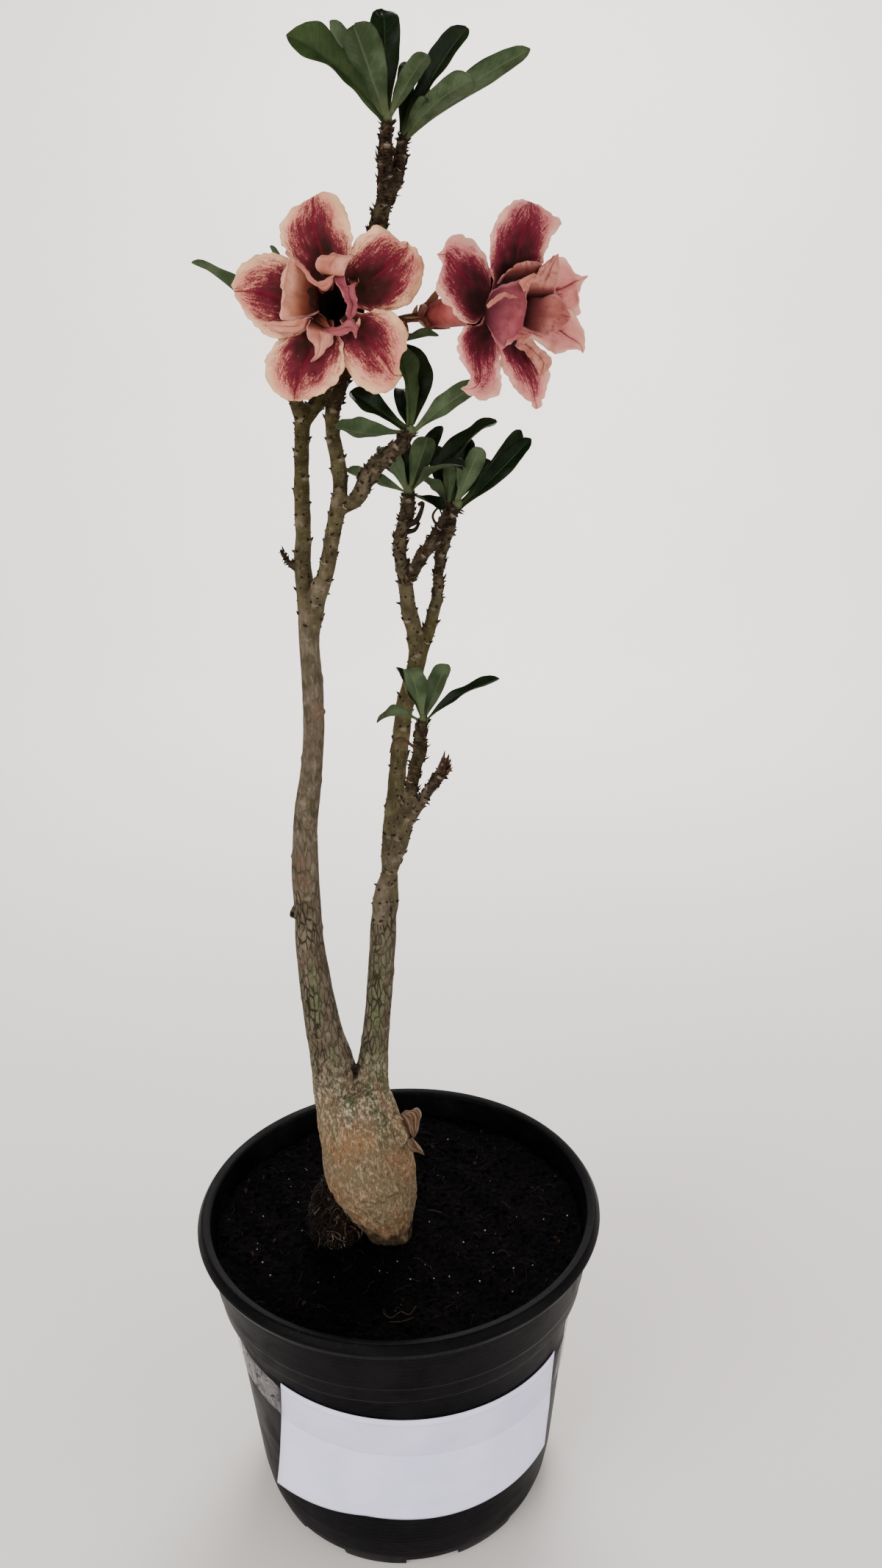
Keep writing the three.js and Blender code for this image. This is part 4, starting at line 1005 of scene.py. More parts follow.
# Stems: [x, y, z, radius] along each one.
STEMS = {
    "caudex": [
        (-3, -12, 119, 8), (-4, -11, 138, 9.5), (-5, -10, 147, 11.5), (-8, -7, 158, 17.5),
        (-12, -4, 169, 21.3),
        (-14.5, -3, 180, 21.8), (-17, -2, 195, 20.5), (-19.3, -1, 207, 19.3), (-20.8, -1, 218, 17.2),
        (-21.2, -1, 224, 15)],
    "trunkLeft": [
        (-22, -1, 196, 13), (-26.5, -1, 213, 12.2), (-30.1, -2, 238, 10), (-32.7, -3, 254, 8.6),
        (-34.5, -4, 271, 7.8), (-35.8, -5, 287, 7.1), (-36.8, -6, 302, 6.6), (-36.7, -6, 317, 6.1),
        (-36.8, -7, 337, 6.1), (-35.3, -7, 360, 5.4), (-32.1, -8, 380, 5), (-29.5, -8, 400, 4.7),
        (-28.8, -9, 423, 4.5), (-29.2, -9, 439, 4.5), (-28.8, -9, 453, 4.6)],
    "leftTall": [
        (-28.8, -9, 444, 4.2), (-29.9, -8, 463, 3.8), (-30.4, -7, 474, 3.5), (-29.7, -6, 484, 3.3),
        (-29.5, -5, 499, 3.3), (-29.2, -4, 510, 3.1), (-28.4, -4, 522, 3.1), (-27.3, -4, 533, 3.3)],
    "leftForward": [(-27.6, -4, 528, 3), (-29.6, -6, 537, 2.7), (-30, -10, 545, 2.5), (-29, -13, 552, 2.4)],
    "leftBack": [
        (-27.4, -4, 529, 3.1), (-22.4, 0, 535.5, 3.2), (-16.6, 6, 544, 3.3), (-10.9, 9, 558, 3.3),
        (-5, 9, 577, 3.2), (0.8, 8, 591, 3.3), (4, 7, 600, 3.5), (7, 6, 609, 3.3), (8.8, 6, 616, 3.1)],
    "topLeft": [(8, 6, 612, 3.1), (7.9, 5, 620.6, 3), (8.1, 4, 625.5, 2.8), (8.6, 3, 630.3, 2.6),
            (9.2, 2, 635, 2.3)],
    "topRight": [
        (8.4, 6, 611, 2.8), (12, 9, 618, 2.7), (13.2, 11, 622.8, 2.5), (13.9, 12, 627.3, 2.4),
        (14.6, 13, 631, 2.2)],
    "leftMiddle": [
        (-28.4, -9, 446, 4.2), (-24.2, -14, 461, 3.9), (-20.2, -17, 470.4, 3.4), (-17.9, -19, 479.5, 3.2),
        (-15.9, -20, 488.2, 3.2), (-13.7, -21, 496.8, 3.3), (-12.4, -21, 505.2, 3), (-13.1, -21, 515, 3.1),
        (-14.5, -21, 524.6, 2.8), (-14.2, -21, 532.7, 2.9), (-11.7, -21, 539.4, 2.8), (-9, -20, 546, 2.5),
        (-6.8, -19, 552, 2.2)],
    "leftSide": [
        (-13.5, -21, 496, 2.8), (-6.4, -24, 499.7, 3), (-2.3, -26, 506.4, 3.3), (2, -27, 512.4, 3.5),
        (7.6, -28, 517.2, 3), (11.6, -28, 519.8, 2.9), (14.2, -28, 523.2, 2.6)],
    "trunkRight": [
        (-15.5, 0, 195, 12), (-13.4, 0, 212, 10.7), (-11.2, 0, 228, 7.8), (-9.8, 1, 240, 6.8),
        (-7.9, 2, 255, 6.3),
        (-6.3, 3, 270, 6.1), (-4.8, 3, 285.5, 6), (-3.4, 3, 300, 6.3), (-2.4, 4, 312, 5.6)],
    "rightLow": [
        (-3.6, 3, 304, 4.6), (-3.6, -1, 319, 3.9), (-1, -4, 329.5, 3.6), (3.1, -6, 341, 3.5),
        (7.1, -8, 352, 3.5),
        (9.7, -9, 364.5, 3.3), (11.3, -10, 373, 3), (14.2, -11, 387, 2.8), (16.3, -12, 394, 3),
        (16.2, -12, 400, 2.7), (17.3, -12, 405, 2.5)],
    "rightLowDead": [
        (10.2, -9, 360, 2.5), (15.3, -11, 368.5, 2.3), (19.7, -13, 376, 2.3), (23.9, -14, 382, 2.5),
        (26, -15, 386, 2.2), (27.5, -15, 389.5, 1)],
    "rightTall": [
        (-2.4, 5, 304, 4.4), (0.2, 9, 315, 3.9), (0, 12, 326.4, 3.8), (0.3, 13, 337, 3.9),
        (1.8, 14, 351, 4.1),
        (3.9, 14, 365.4, 4), (5.6, 14, 379.5, 4), (7.4, 14, 393.3, 4), (9.4, 14, 407, 4),
        (12.6, 13, 417, 4.1),
        (15.2, 13, 427, 4.1), (16.6, 12.5, 437, 4.2)],
    "rightMiddle": [
        (15.8, 12, 429, 3.8), (14.3, 10, 442.3, 3.6), (12.3, 9, 450.5, 3.5), (11.6, 8, 458.5, 3.2),
        (10.6, 7, 466.5, 3), (9.3, 7, 474.3, 2.7), (9.4, 7, 480.4, 2.7), (11.2, 7, 486.4, 2.9),
        (12.9, 7, 492.4, 3.1), (13.7, 7, 498, 2.8)],
    "rightSide": [
        (10.9, 7.4, 462, 2.6), (14.7, 4, 467, 2.6), (17.4, 2, 472.6, 2.6), (21.8, 0, 478, 2.7),
        (25.3, -1, 483.4, 2.7), (29, -2, 489.1, 2.7), (32.7, -3, 493.8, 2.6)],
    "rightBack": [
        (16.6, 12, 431, 3.6), (21, 14, 441.4, 2.9), (23, 15, 448.6, 2.8), (24.8, 16, 455, 2.4),
        (25.3, 16, 463.4, 2.2), (26.4, 16, 471.3, 2.4), (28.1, 16, 478, 2.7), (30.7, 16, 485.2, 2.7),
        (31.2, 15, 491.4, 2.4)],
    "deadTwigLeft": [
        (-30.4, -7.4, 470, 2), (-33.5, -8, 472.4, 1.9), (-35.6, -9, 473.6, 1.3), (-37.4, -10, 476.4, 1),
        (-38.6, -10, 479, 0.8)],
    "rootStub": [
        (-5, -6, 205, 4.5), (-0.5, -8, 204.5, 4.2), (2.2, -8.3, 202.5, 4), (3.6, -9.3, 199, 3),
        (3.2, -9.6, 195.5, 1.8)],
}
# Knobs and scars of pruned branches: [x, y, z, radius].
KNOBS = [
    (-42.5, -8.5, 317, 3.2), (-38.5, -10.5, 331, 3.4), (-33.5, -12, 361, 2.6), (-26.2, -11.5, 411, 2.6),
    (-6.2, -3.4, 296, 3), (-14, -23, 533, 1.9), (1, -28, 511, 2.4),
]
# For each stem: how green and how brown it is at its foot and at its tip, the spacing of its leaf scars,
# and the share of its length from which dry bracts cover it closely (1 or more is nowhere).
SKIN = {
    "caudex": (0, 0, 0, 0, 0, 2),
    "trunkLeft": (0, 0.15, 0, 0, 9, 2),
    "leftTall": (0.45, 0.85, 0, 0.25, 5, 2),
    "leftForward": (0.7, 0.7, 0.2, 0.6, 3.2, 0.5),
    "leftBack": (0.8, 0.5, 0.1, 0.85, 3.5, 0.7),
    "topLeft": (0.2, 0.1, 0.9, 1, 2.2, 0),
    "topRight": (0.2, 0.1, 0.9, 1, 2.2, 0),
    "leftMiddle": (0.4, 0.85, 0, 0.75, 3.7, 0.8),
    "leftSide": (0.5, 0.2, 0.3, 0.95, 2.4, 0.3),
    "trunkRight": (0.05, 0.15, 0, 0, 9, 2),
    "rightLow": (0.1, 0.7, 0, 0.85, 3.5, 0.7),
    "rightLowDead": (0.3, 0, 0.4, 1, 2.6, 0.35),
    "rightTall": (0.4, 0.75, 0, 0, 6.5, 2),
    "rightMiddle": (0.65, 0.3, 0, 0.65, 3.2, 0.5),
    "rightSide": (0.3, 0.1, 0.7, 1, 2.6, 0.1),
    "rightBack": (0.8, 0.2, 0.15, 1, 3, 0.4),
    "deadTwigLeft": (0, 0, 0.7, 1, 0, 0.3),
    "rootStub": (0, 0, 0, 0, 0, 2),
}
BARK_VOXEL = 0.6
OLD_WOOD = ("caudex", "trunkLeft", "trunkRight", "rootStub")
BARK_VALUES = (
    "green", "moss", "tan", "net", "netted", "crest", "cracked", "brown", "scar", "rust", "dark",
)
CLEFT_X = -18.6
CLEFT_LOW = 226
CLEFT_HIGH = 233
CLEFT_WIDTH = 0.75
CLEFT_DEPTH = 2.4
STEM_SIDES = 28
# How many points of the bark are compared with all stems at once.
AT_ONCE = 8000
STATION_STEP = 1.6
# How far apart the dark specks on young stems are, along the stem.
DASH_STEP = 1.3


class Stem:
    """A stem's centre line in short steps, with its radius and frame."""

    def __init__(self, name):
        self.name = name
        made = through(STEMS[name], STATION_STEP)
        self.centres = made[:, :3]
        self.radii = made[:, 3]
        self.tangents, self.first, self.second = frames_along(self.centres)
        steps = np.linalg.norm(np.diff(self.centres, axis=0), axis=1)
        self.length = np.concatenate([[0], np.cumsum(steps)])

    def at(self, distance, angle):
        """A point on the bark, the way out of it, and the way along the stem."""
        pick = [np.interp(distance, self.length, column) for column in self.centres.T]
        k = int(np.clip(np.searchsorted(self.length, distance), 1, len(self.length) - 1))
        out = unit(math.cos(angle) * self.first[k] + math.sin(angle) * self.second[k])
        radius = np.interp(distance, self.length, self.radii)
        return np.array(pick) + out * radius, out, self.tangents[k]


STEM_LINES = {name: Stem(name) for name in STEMS}


def scars_of(name):
    """Where leaf scars sit on a stem: distance along it and angle round it."""
    spacing = SKIN[name][4]
    if not spacing:
        return []
    stem = STEM_LINES[name]
    count = int(stem.length[-1] / spacing)
    return [((k + 0.6) * spacing, k * GOLDEN + len(name)) for k in range(count)]


def merged_wood():
    """All stems and knobs melted into one skin."""
    pile = Pile()
    for stem in STEM_LINES.values():
        swell = 0.0 if stem.name in OLD_WOOD else 0.03
        radii = stem.radii * (1 + swell * np.sin(stem.length / 1.9 + len(stem.name)))
        pile.add(*tube(stem.centres, radii, STEM_SIDES))
        if stem.name != "caudex":
            dome = np.linspace(-0.6, 1.4, 6)
            tip = stem.centres[-1] + stem.tangents[-1] * radii[-1] * np.sin(dome)[:, None]
            pile.add(*tube(tip, radii[-1] * np.cos(dome), STEM_SIDES))
    rng = np.random.default_rng(3)
    for x, y, z, radius in KNOBS:
        pile.add(*lump((x, y, z), radius, rng))
    working = loose_object(mesh_from("wood", np.concatenate(pile.points), pile.faces))
    skin = working.modifiers.new("skin", "REMESH")
    skin.mode = "VOXEL"
    skin.voxel_size = BARK_VOXEL * MM
    smooth = working.modifiers.new("soften", "SMOOTH")
    smooth.factor = 0.5
    smooth.iterations = 5
    return applied(working)


def stem_coordinates(points):
    """Each point's stem, its place along that stem, its angle round it and its distance from its centre."""
    stems = STEM_LINES.values()
    owner = np.concatenate([np.full(len(stem.radii), k) for k, stem in enumerate(stems)])
    wanted = ("centres", "radii", "length", "tangents", "first", "second")
    centres, radii, length, tangents, first, second = [
        np.concatenate([getattr(stem, key) for stem in stems]) for key in wanted
    ]
    nearest = np.empty(len(points), dtype=int)
    for start in range(0, len(points), AT_ONCE):
        block = points[start:start + AT_ONCE]
        gap = np.linalg.norm(block[:, None] - centres[None], axis=2) - radii[None]
        nearest[start:start + AT_ONCE] = gap.argmin(axis=1)
    away = points - centres[nearest]
    ahead = (away * tangents[nearest]).sum(axis=1)
    x = (away * first[nearest]).sum(axis=1)
    y = (away * second[nearest]).sum(axis=1)
    return owner[nearest], length[nearest] + ahead, np.arctan2(y, x), np.hypot(x, y)


def bark_values(points):
    """Relief and colour shares of the bark at every point."""
    names = list(STEM_LINES)
    owner, distance, angle, reach = stem_coordinates(points)
    rolled = np.column_stack([reach * np.cos(angle), reach * np.sin(angle), distance])
    z = points[:, 2]
    values = {key: np.zeros(len(points)) for key in BARK_VALUES}
    old = np.isin(owner, [names.index(name) for name in OLD_WOOD]).astype(float)
    patch = noise_at(points, 4.0, 6.0)
    for k, name in enumerate(names):
        mine = owner == k
        share = np.clip(distance[mine] / STEM_LINES[name].length[-1], 0, 1)
        green_foot, green_tip, brown_foot, brown_tip = SKIN[name][:4]
        values["green"][mine] = green_foot + (green_tip - green_foot) * share
        brown = brown_foot + (brown_tip - brown_foot) * share**2
        values["brown"][mine] = brown + 0.5 * patch[mine] * (brown > 0.05)
    broad = noise_at(points, 13, 1.0)
    values["tan"] = old * smoothstep(234, 204, z + 16 * broad)
    # The swollen base: wrinkled ridges that slant and fork; they thin out to flecks up to the fork.
    slanted = rolled + np.column_stack([0.25 * z, 0 * z, 0 * z])
    net = noise_at(slanted, (1.75, 1.75, 3.6), 4.0) + 0.35 * noise_at(rolled, (0.9, 0.9, 1.6), 8.0)
    low = old * smoothstep(256, 214, z)
    values["net"] = 0.5 + 0.62 * net
    values["netted"] = low
    values["crest"] = 0.5 + 0.5 * smoothstep(196, 222, z)
    relief = low * 0.42 * smoothstep(-0.3, 0.3, net)
    # Green growth in the hollows round the fork and in streaks up the trunks.
    mossy = 0.2 * (owner == names.index("trunkRight"))
    streaks = smoothstep(-0.12 - mossy, 0.3, noise_at(rolled, (6, 6, 26), 2.5) + mossy)
    neck = np.exp(-(((z - 221) / 15) ** 2))
    front = smoothstep(4, -6, points[:, 1])
    up_trunks = 0.75 * smoothstep(340, 250, z) * front
    values["moss"] = old * smoothstep(192, 210, z) * streaks * np.maximum(neck, up_trunks)
    # Cracks that run up the trunks.
    worn = 0.6 + 0.4 * smoothstep(-0.3, 0.2, noise_at(rolled, (9, 9, 20), 3.0))
    values["cracked"] = old * smoothstep(216, 240, z) * worn * (0.3 + 0.7 * smoothstep(390, 300, z))
    relief += old * 0.4 * broad + 0.1 * noise_at(rolled, (2.6, 2.6, 3.8), 9.0)
    values["dark"] = 0.85 * smoothstep(158, 145, z + 9 * patch)
    # The narrow cleft between the two trunks, cut into the bark and painted near black as shade in the
    # cleft.
    cleft = np.exp(-(((points[:, 0] - CLEFT_X) / CLEFT_WIDTH) ** 2))
    cleft = cleft * smoothstep(CLEFT_LOW, CLEFT_LOW + 6, z)
    cleft *= smoothstep(CLEFT_HIGH + 6, CLEFT_HIGH, z) * smoothstep(0, -3, points[:, 1])
    # Painted shade: the cleft joins the dirt near the soil in the dark value.
    values["dark"] = np.maximum(values["dark"], cleft)
    relief -= CLEFT_DEPTH * cleft
    add_scars(names, owner, distance, angle, reach, values, relief)
    add_wounds(points, values, relief)
    return values, relief


# How corky each leaf scar in turn is.
CORKY_SCARS = (0.75, 0.0, 0.4, 0.65, 0.0, 0.9, 0.25)


def add_scars(names, owner, distance, angle, reach, values, relief):
    """The slight cushion under each leaf scar, and its corky patch."""
    for k, name in enumerate(names):
        mine = np.flatnonzero(owner == k)
        size = 1.5 if name in OLD_WOOD else 1.15
        for number, (place, turn) in enumerate(scars_of(name)):
            close = mine[np.abs(distance[mine] - place) < 5]
            ahead = (distance[close] - place) / size
            round_it = (angle[close] - turn + math.pi) % (2 * math.pi) - math.pi
            aside = round_it * reach[close] / size
            off = np.hypot(aside * 0.8, ahead - 0.3)
            relief[close] += 0.26 * smoothstep(1.9, 0.6, off)
            corky = smoothstep(1.35, 0.5, np.hypot(aside * 0.75, ahead * 1.35))
            corky *= CORKY_SCARS[number % len(CORKY_SCARS)]
            values["scar"][close] = np.maximum(values["scar"][close], corky)


# Old wounds on the trunks: [x, y, z, radius, how rusty, how dark].
WOUNDS = [
    (-26.2, -12.5, 411, 3.6, 0.7, 0.1), (-33.5, -12.5, 361, 2.8, 0.15, 0.15),
    (-30, -12.5, 360, 2.2, 0.4, 0.75),
    (-37.5, -12.3, 343, 3.4, 0.55, 0.1), (-38, -12.3, 333, 4.0, 0.6, 0.2),
    (-43.8, -10.5, 317, 2.0, 0.0, 1.0),
    (-39.5, -12.5, 308, 2.2, 0.1, 0.0), (-41, -11.8, 292, 2.3, 0.6, 0.3), (-5, -3.2, 296, 2.5, 0.2, 0.0),
    (-2.5, -3.0, 279, 2.2, 0.25, 0.0), (-23.5, -18.5, 465, 3.2, 0.0, 0.0), (-30, -13.4, 452, 2.8, 0.1, 0.0),
    (-15, -24, 499, 2.0, 0.0, 0.0), (-31, -8.6, 490, 2.4, 0.0, 0.0),
]


def add_wounds(points, values, relief):
    """Rough, corky, rusty or dark patches where something was pruned."""
    for x, y, z, radius, rust, dark in WOUNDS:
        gap = np.linalg.norm(points - (x, y, z), axis=1)
        where = gap < radius * 1.5
        spot = smoothstep(radius * 1.5, radius * 0.4, gap[where])
        rough = noise_at(points[where], 1.3, 12.0)
        marks = {
            "scar": spot * (0.55 + 0.5 * rough),
            "rust": spot * rust * smoothstep(-0.3, 0.3, rough),
            "dark": smoothstep(0.5, 0.9, spot) * dark,
        }
        for key, mark in marks.items():
            values[key][where] = np.maximum(values[key][where], mark)
        relief[where] += spot * (0.35 + 0.6 * rough) - 0.8 * dark * smoothstep(0.6, 1, spot)


def make_wood():
    mesh = merged_wood()
    points = np.empty(len(mesh.vertices) * 3)
    normals = points.copy()
    mesh.vertices.foreach_get("co", points)
    mesh.vertices.foreach_get("normal", normals)
    points = points.reshape(-1, 3) / MM
    normals = normals.reshape(-1, 3)
    values, relief = bark_values(points)
    points = points + normals * relief[:, None]
    mesh.vertices.foreach_set("co", (points * MM).reshape(-1))
    add_attributes(mesh, {key: np.clip(column, 0, 1) for key, column in values.items()})
    finish_piece(mesh, "wood_bark", BARK_MATERIAL, "plant_wood")


def flake(root, out, along, length, width, curl, rng, flat=0.4):
    """A dry bract: a thin strap that leaves the bark and curls over."""
    count = 7
    share = np.linspace(0, 1, count)[:, None]
    side = np.cross(out, along)
    heading = out * rng.uniform(0.5, 1.0) + along * rng.uniform(0.1, 0.8) + side * rng.uniform(-0.5, 0.5)
    heading = unit(heading)
    bend = unit(along * rng.uniform(-0.6, 1) + side * rng.uniform(-1, 1) - out * 0.3)
    line = root - out * 0.4 + heading * share * length + bend * curl * length * share**2
    radius = width * (1 - share[:, 0] ** 1.5 * 0.85)
    return tube(line, radius, 5, flat)


def scar_line(stem, place, turn, half_width, rng):
    """The raised lip of a leaf scar: a shallow V across the stem."""
    width = half_width * rng.uniform(0.7, 1.2)
    slant = rng.uniform(-0.25, 0.25)
    line = []
    for aside in np.linspace(-width, width, 9):
        radius = np.interp(place, stem.length, stem.radii)
        up = 0.45 * abs(aside) + slant * aside + rng.uniform(-0.1, 0.1)
        root, out, _ = stem.at(place + up, turn + aside / radius)
        line.append(root + 0.12 * out)
    return tube(np.array(line), 0.34 * np.sin(np.linspace(0.35, math.pi - 0.35, 9)), 6, 0.7)


def make_flakes():
    """Leaf scars, thorn-like remains beside them, and the close cover of dry bracts near the tips."""
    rng = np.random.default_rng(21)
    pile = Pile("tint", "pale")
    for name, stem in STEM_LINES.items():
        cover = SKIN[name][5]
        old = name in OLD_WOOD
        for place, turn in scars_of(name):
            if rng.random() < 0.75:
                lip = scar_line(stem, place, turn, 1.8 if old else 1.5, rng)
                pile.add(*lip, pale=rng.uniform(0.5, 1.0))
            for shift in (-0.45, 0.45):
                if not old:
                    root, out, along = stem.at(place + 0.8, turn + shift)
                    shape = (rng.uniform(1.4, 2.5), 0.8, rng.uniform(0, 0.6))
                    pile.add(*flake(root, out, along, *shape, rng, 0.75), tint=0.04)
        if not old:
            for place in np.arange(1.5, stem.length[-1], DASH_STEP):
                root, out, along = stem.at(place, rng.uniform(-math.pi, math.pi))
                size = rng.uniform(0.25, 0.55) * np.array([1.6, 0.8, 0.8])
                pile.add(*lump(root - 0.1 * out, size, rng), tint=0.03)
        if cover < 1:
            start = stem.length[-1] * cover
            count = int((stem.length[-1] - start) * 2.6)
            for k in range(count):
                place = start + (k + 0.5) * (stem.length[-1] - start) / count
                root, out, along = stem.at(place, k * GOLDEN * 1.7)
                tint = rng.uniform(0.3, 0.7) if rng.random() > 0.88 else rng.uniform(0, 0.12)
                shape = (rng.uniform(1.3, 2.8), rng.uniform(0.5, 0.9), rng.uniform(0.2, 1.1))
                pile.add(*flake(root, out, along, *shape, rng), tint=tint)
    dead = STEM_LINES["rightLowDead"]
    for k in range(20):
        root, out, along = dead.at(dead.length[-1] - 6 * rng.random(), k * GOLDEN)
        shape = (rng.uniform(3, 6.5), rng.uniform(0.5, 0.95), rng.uniform(0, 0.6))
        pile.add(*flake(root, out * 0.4 + along, along, *shape, rng), tint=rng.uniform(0.05, 0.5))
    for stations, radius, tint in DEAD_STALKS:
        line = spline(np.array(stations, dtype=float), 24)
        pile.add(*tube(line, radius * np.linspace(1, 0.5, 24), 6), tint=tint)
    pile.piece("dry_flakes", FLAKE_MATERIAL, "bark")


# Dead flower stalks that still hang on: their line, radius and how pale they are.
DEAD_STALKS = [
    ([(14.6, -14.5, 395), (11.6, -15, 397.5), (8, -16.5, 400.5), (5, -17, 399),
      (3.4, -16.5, 394)], 0.8, 0.25),
    ([(28, 13, 483), (25, 11, 486), (23.5, 10, 490), (26, 10, 493), (27.5, 10, 490)], 0.8, 0.2),
    ([(13, 5, 487), (16.5, 3, 488.5), (18.5, 2, 492), (19.5, 2, 496), (17.5, 2, 495)], 1.5, 0.04),
    ([(13, 5, 484), (16, 3, 485), (18, 2.5, 488)], 1.2, 0.0),
    ([(-21, -6, 234), (-19.5, -7, 235.5), (-18, -6, 234.5), (-16.5, -5, 236)], 0.8, 0.0),
]


# Papery remains of an old root, off the right side of the swollen base: for each its two outlines in pixels
# of the photograph, its heights over their plane, its folds and how pale it is.
ROOT_PLANE = {"mouth": (4.5, -11.5, 200), "axis": (0.35, -0.92, 0.15)}
ROOT_FLAKE_GRID = (36, 21)
ROOT_FLAKES = [
    ([(545, 1516), (550, 1524), (555, 1533), (559, 1542), (562, 1550)],
     [(552, 1511), (560, 1511), (568, 1508), (573, 1515), (571, 1528), (568, 1540), (562, 1550)],
     (0, 1.5, 2.5, 1.5), (0.5, -3.0), 0.5),
    ([(546, 1518), (550, 1526), (554, 1535), (558, 1543), (561, 1550)],
     [(550, 1514), (558, 1515), (564, 1519), (566, 1529), (565, 1540), (561, 1550)],
     (-2, -3, -3, -1), (0.0, 2.5), 0.2),
    ([(553, 1551), (554, 1560), (560, 1567), (569, 1568), (577, 1572)],
     [(561, 1548), (567, 1555), (573, 1563), (577, 1572)],
     (0, 1, 1.5, 0.5), (0.5, -1.5), 0.45),
]


def make_root_flake():
    """Torn, papery blades that curl off the swollen base."""
    pile = Pile("tint", "pale")
    for k, (left, right, heights, fold, tint) in enumerate(ROOT_FLAKES):
        size = ROOT_FLAKE_GRID
        grid = petal_grid(BloomFrame(ROOT_PLANE), left, right, heights, fold, 0.35, 1.3 * k, size)
        points, faces, _ = blade(grid, 0.5, 0.6)
        across, along = blade_shares(*size)
        fibres = noise_at(np.column_stack([9 * across, 3 * along, 0 * along + 5 * k]), 1.4, 2.0)
        pale = 0.55 * smoothstep(0.6, 1.0, across) + 0.5 * smoothstep(0.05, 0.35, fibres)
        pile.add(points, faces, tint=np.clip(tint + 0.6 * fibres, 0, 1), pale=pale)
    pile.piece("root_flake", FLAKE_MATERIAL, "bark")


# ---------------------------------------------------------------- leaves

# For each rosette: the stem it grows on from, the length of its core, and its leaves. A leaf is (tip x,
# tip y, tip z, width, turn, arch, sweep). Turn is how far its upper face turns to the front (to the back
# where it is negative), in degrees. Arch and sweep are how far its middle bulges up and sideways, as
# shares of its length.
ROSETTES = {
    "leaves_top_left": ("topLeft", 9, [
        (-25, -12, 662, 15, 48, 0.05, 0.04), (-11, 8, 671, 9, -45, 0, 0.05),
        (-1, -17, 663, 14, -62, 0.04, 0),
        (25, -6, 656, 8, -45, 0.14, 0), (9, 11, 676, 11.5, 60, 0.05, 0), (1, 17, 665, 9, 45, 0.08, 0)]),
    "leaves_top_right": ("topRight", 8, [
        (42, -6, 648, 9.5, -52, 0.04, 0.06), (64, 14, 662, 8.5, -50, 0, 0.04),
        (40, 8, 668, 11, 42, 0, -0.06),
        (24, 3, 644, 4.5, -35, 0.1, 0), (26, 25, 652, 9, 50, 0.06, 0), (17, 23, 661, 7, 40, 0.06, 0)]),
    "leaves_left_forward": ("leftForward", 8, [
        (-66, -4, 589, 10, -38, 0.06, 0), (-38, 9, 595, 7, -40, 0.06, 0), (-24, -1, 597, 8, 30, 0.04, 0)]),
    "leaves_left_middle": ("leftMiddle", 7, [(27, -18, 560.5, 7, 8, 0.02, 0),
            (-22, -12, 555, 6, 20, 0.1, 0)]),
    "leaves_left_side": ("leftSide", 9, [
        (-12, -38, 528, 9.5, -48, 0.01, 0.1), (-7, -22, 540, 9, 55, 0.03, -0.02),
        (42, -32, 542, 8, -42, 0.04, 0.02), (14, -15, 541, 9.5, 62, 0.06, -0.08),
        (12, -31, 556, 9.5, 38, 0, 0.08), (15, -20, 557, 10.5, 58, 0, 0.13)]),
    "leaves_right_middle": ("rightMiddle", 10, [
        (31, 10, 490, 7.5, 25, 0.04, 0), (-12, 9, 509, 7, -42, 0.06, 0.06), (37, -9, 511, 8, 18, 0.14, 0),
        (3, -3, 519, 9, -55, 0.04, 0), (49, 1, 529, 9.5, 30, 0.03, 0.03), (11, 15, 520, 8, 50, 0.08, 0),
        (22, -1, 522, 10, -60, 0.04, 0), (28, 13, 526, 6.5, 40, 0.1, 0)]),
    "leaves_right_side": ("rightSide", 8, [
        (63, -9, 521, 8.5, 18, 0.04, 0.03), (60, 1, 524, 8, 45, 0, 0.06), (43, -9, 518, 8, -50, 0.03, 0),
        (34, -2, 510, 6, -35, 0.05, 0)]),
    "leaves_right_back": ("rightBack", 8, [
        (19, 15, 505, 8, -32, 0.08, 0), (49, 28, 511, 8, 30, 0.08, 0), (24, 26, 518, 9, 50, 0.05, 0),
        (39, 20, 521, 9.5, 55, 0.06, 0), (31, 11, 511, 5.5, -40, 0.05, 0)]),
    "leaves_right_low": ("rightLow", 9, [
        (-2, -13, 407, 8.5, -38, 0.2, 0.05), (50, -15, 425, 6.5, 22, 0.12, 0.05),
        (7, -7, 429, 7, 12, 0.04, 0),
        (28, -3, 429, 9, -48, 0.05, 0), (13, -21, 432, 9.5, -60, 0.06, 0)]),
}
# Leaves whose upper face catches the light.
LIT_LEAVES = [("leaves_top_left", 0), ("leaves_left_side", 4)]
LEAF_GRID = (34, 15)
LEAF_THICKNESS = 0.5
LEAF_SCALES = 9
CORE_SHARE = 0.5
CORE_SIDES = 20
STEM_GAP = 0.3
# How broad a leaf is at shares of its length.
LEAF_SHARES = [0, 0.1, 0.2, 0.45, 0.7, 0.84, 0.93, 0.975, 1]
LEAF_BREADTHS = [0.24, 0.3, 0.44, 0.88, 1, 0.93, 0.72, 0.45, 0.07]


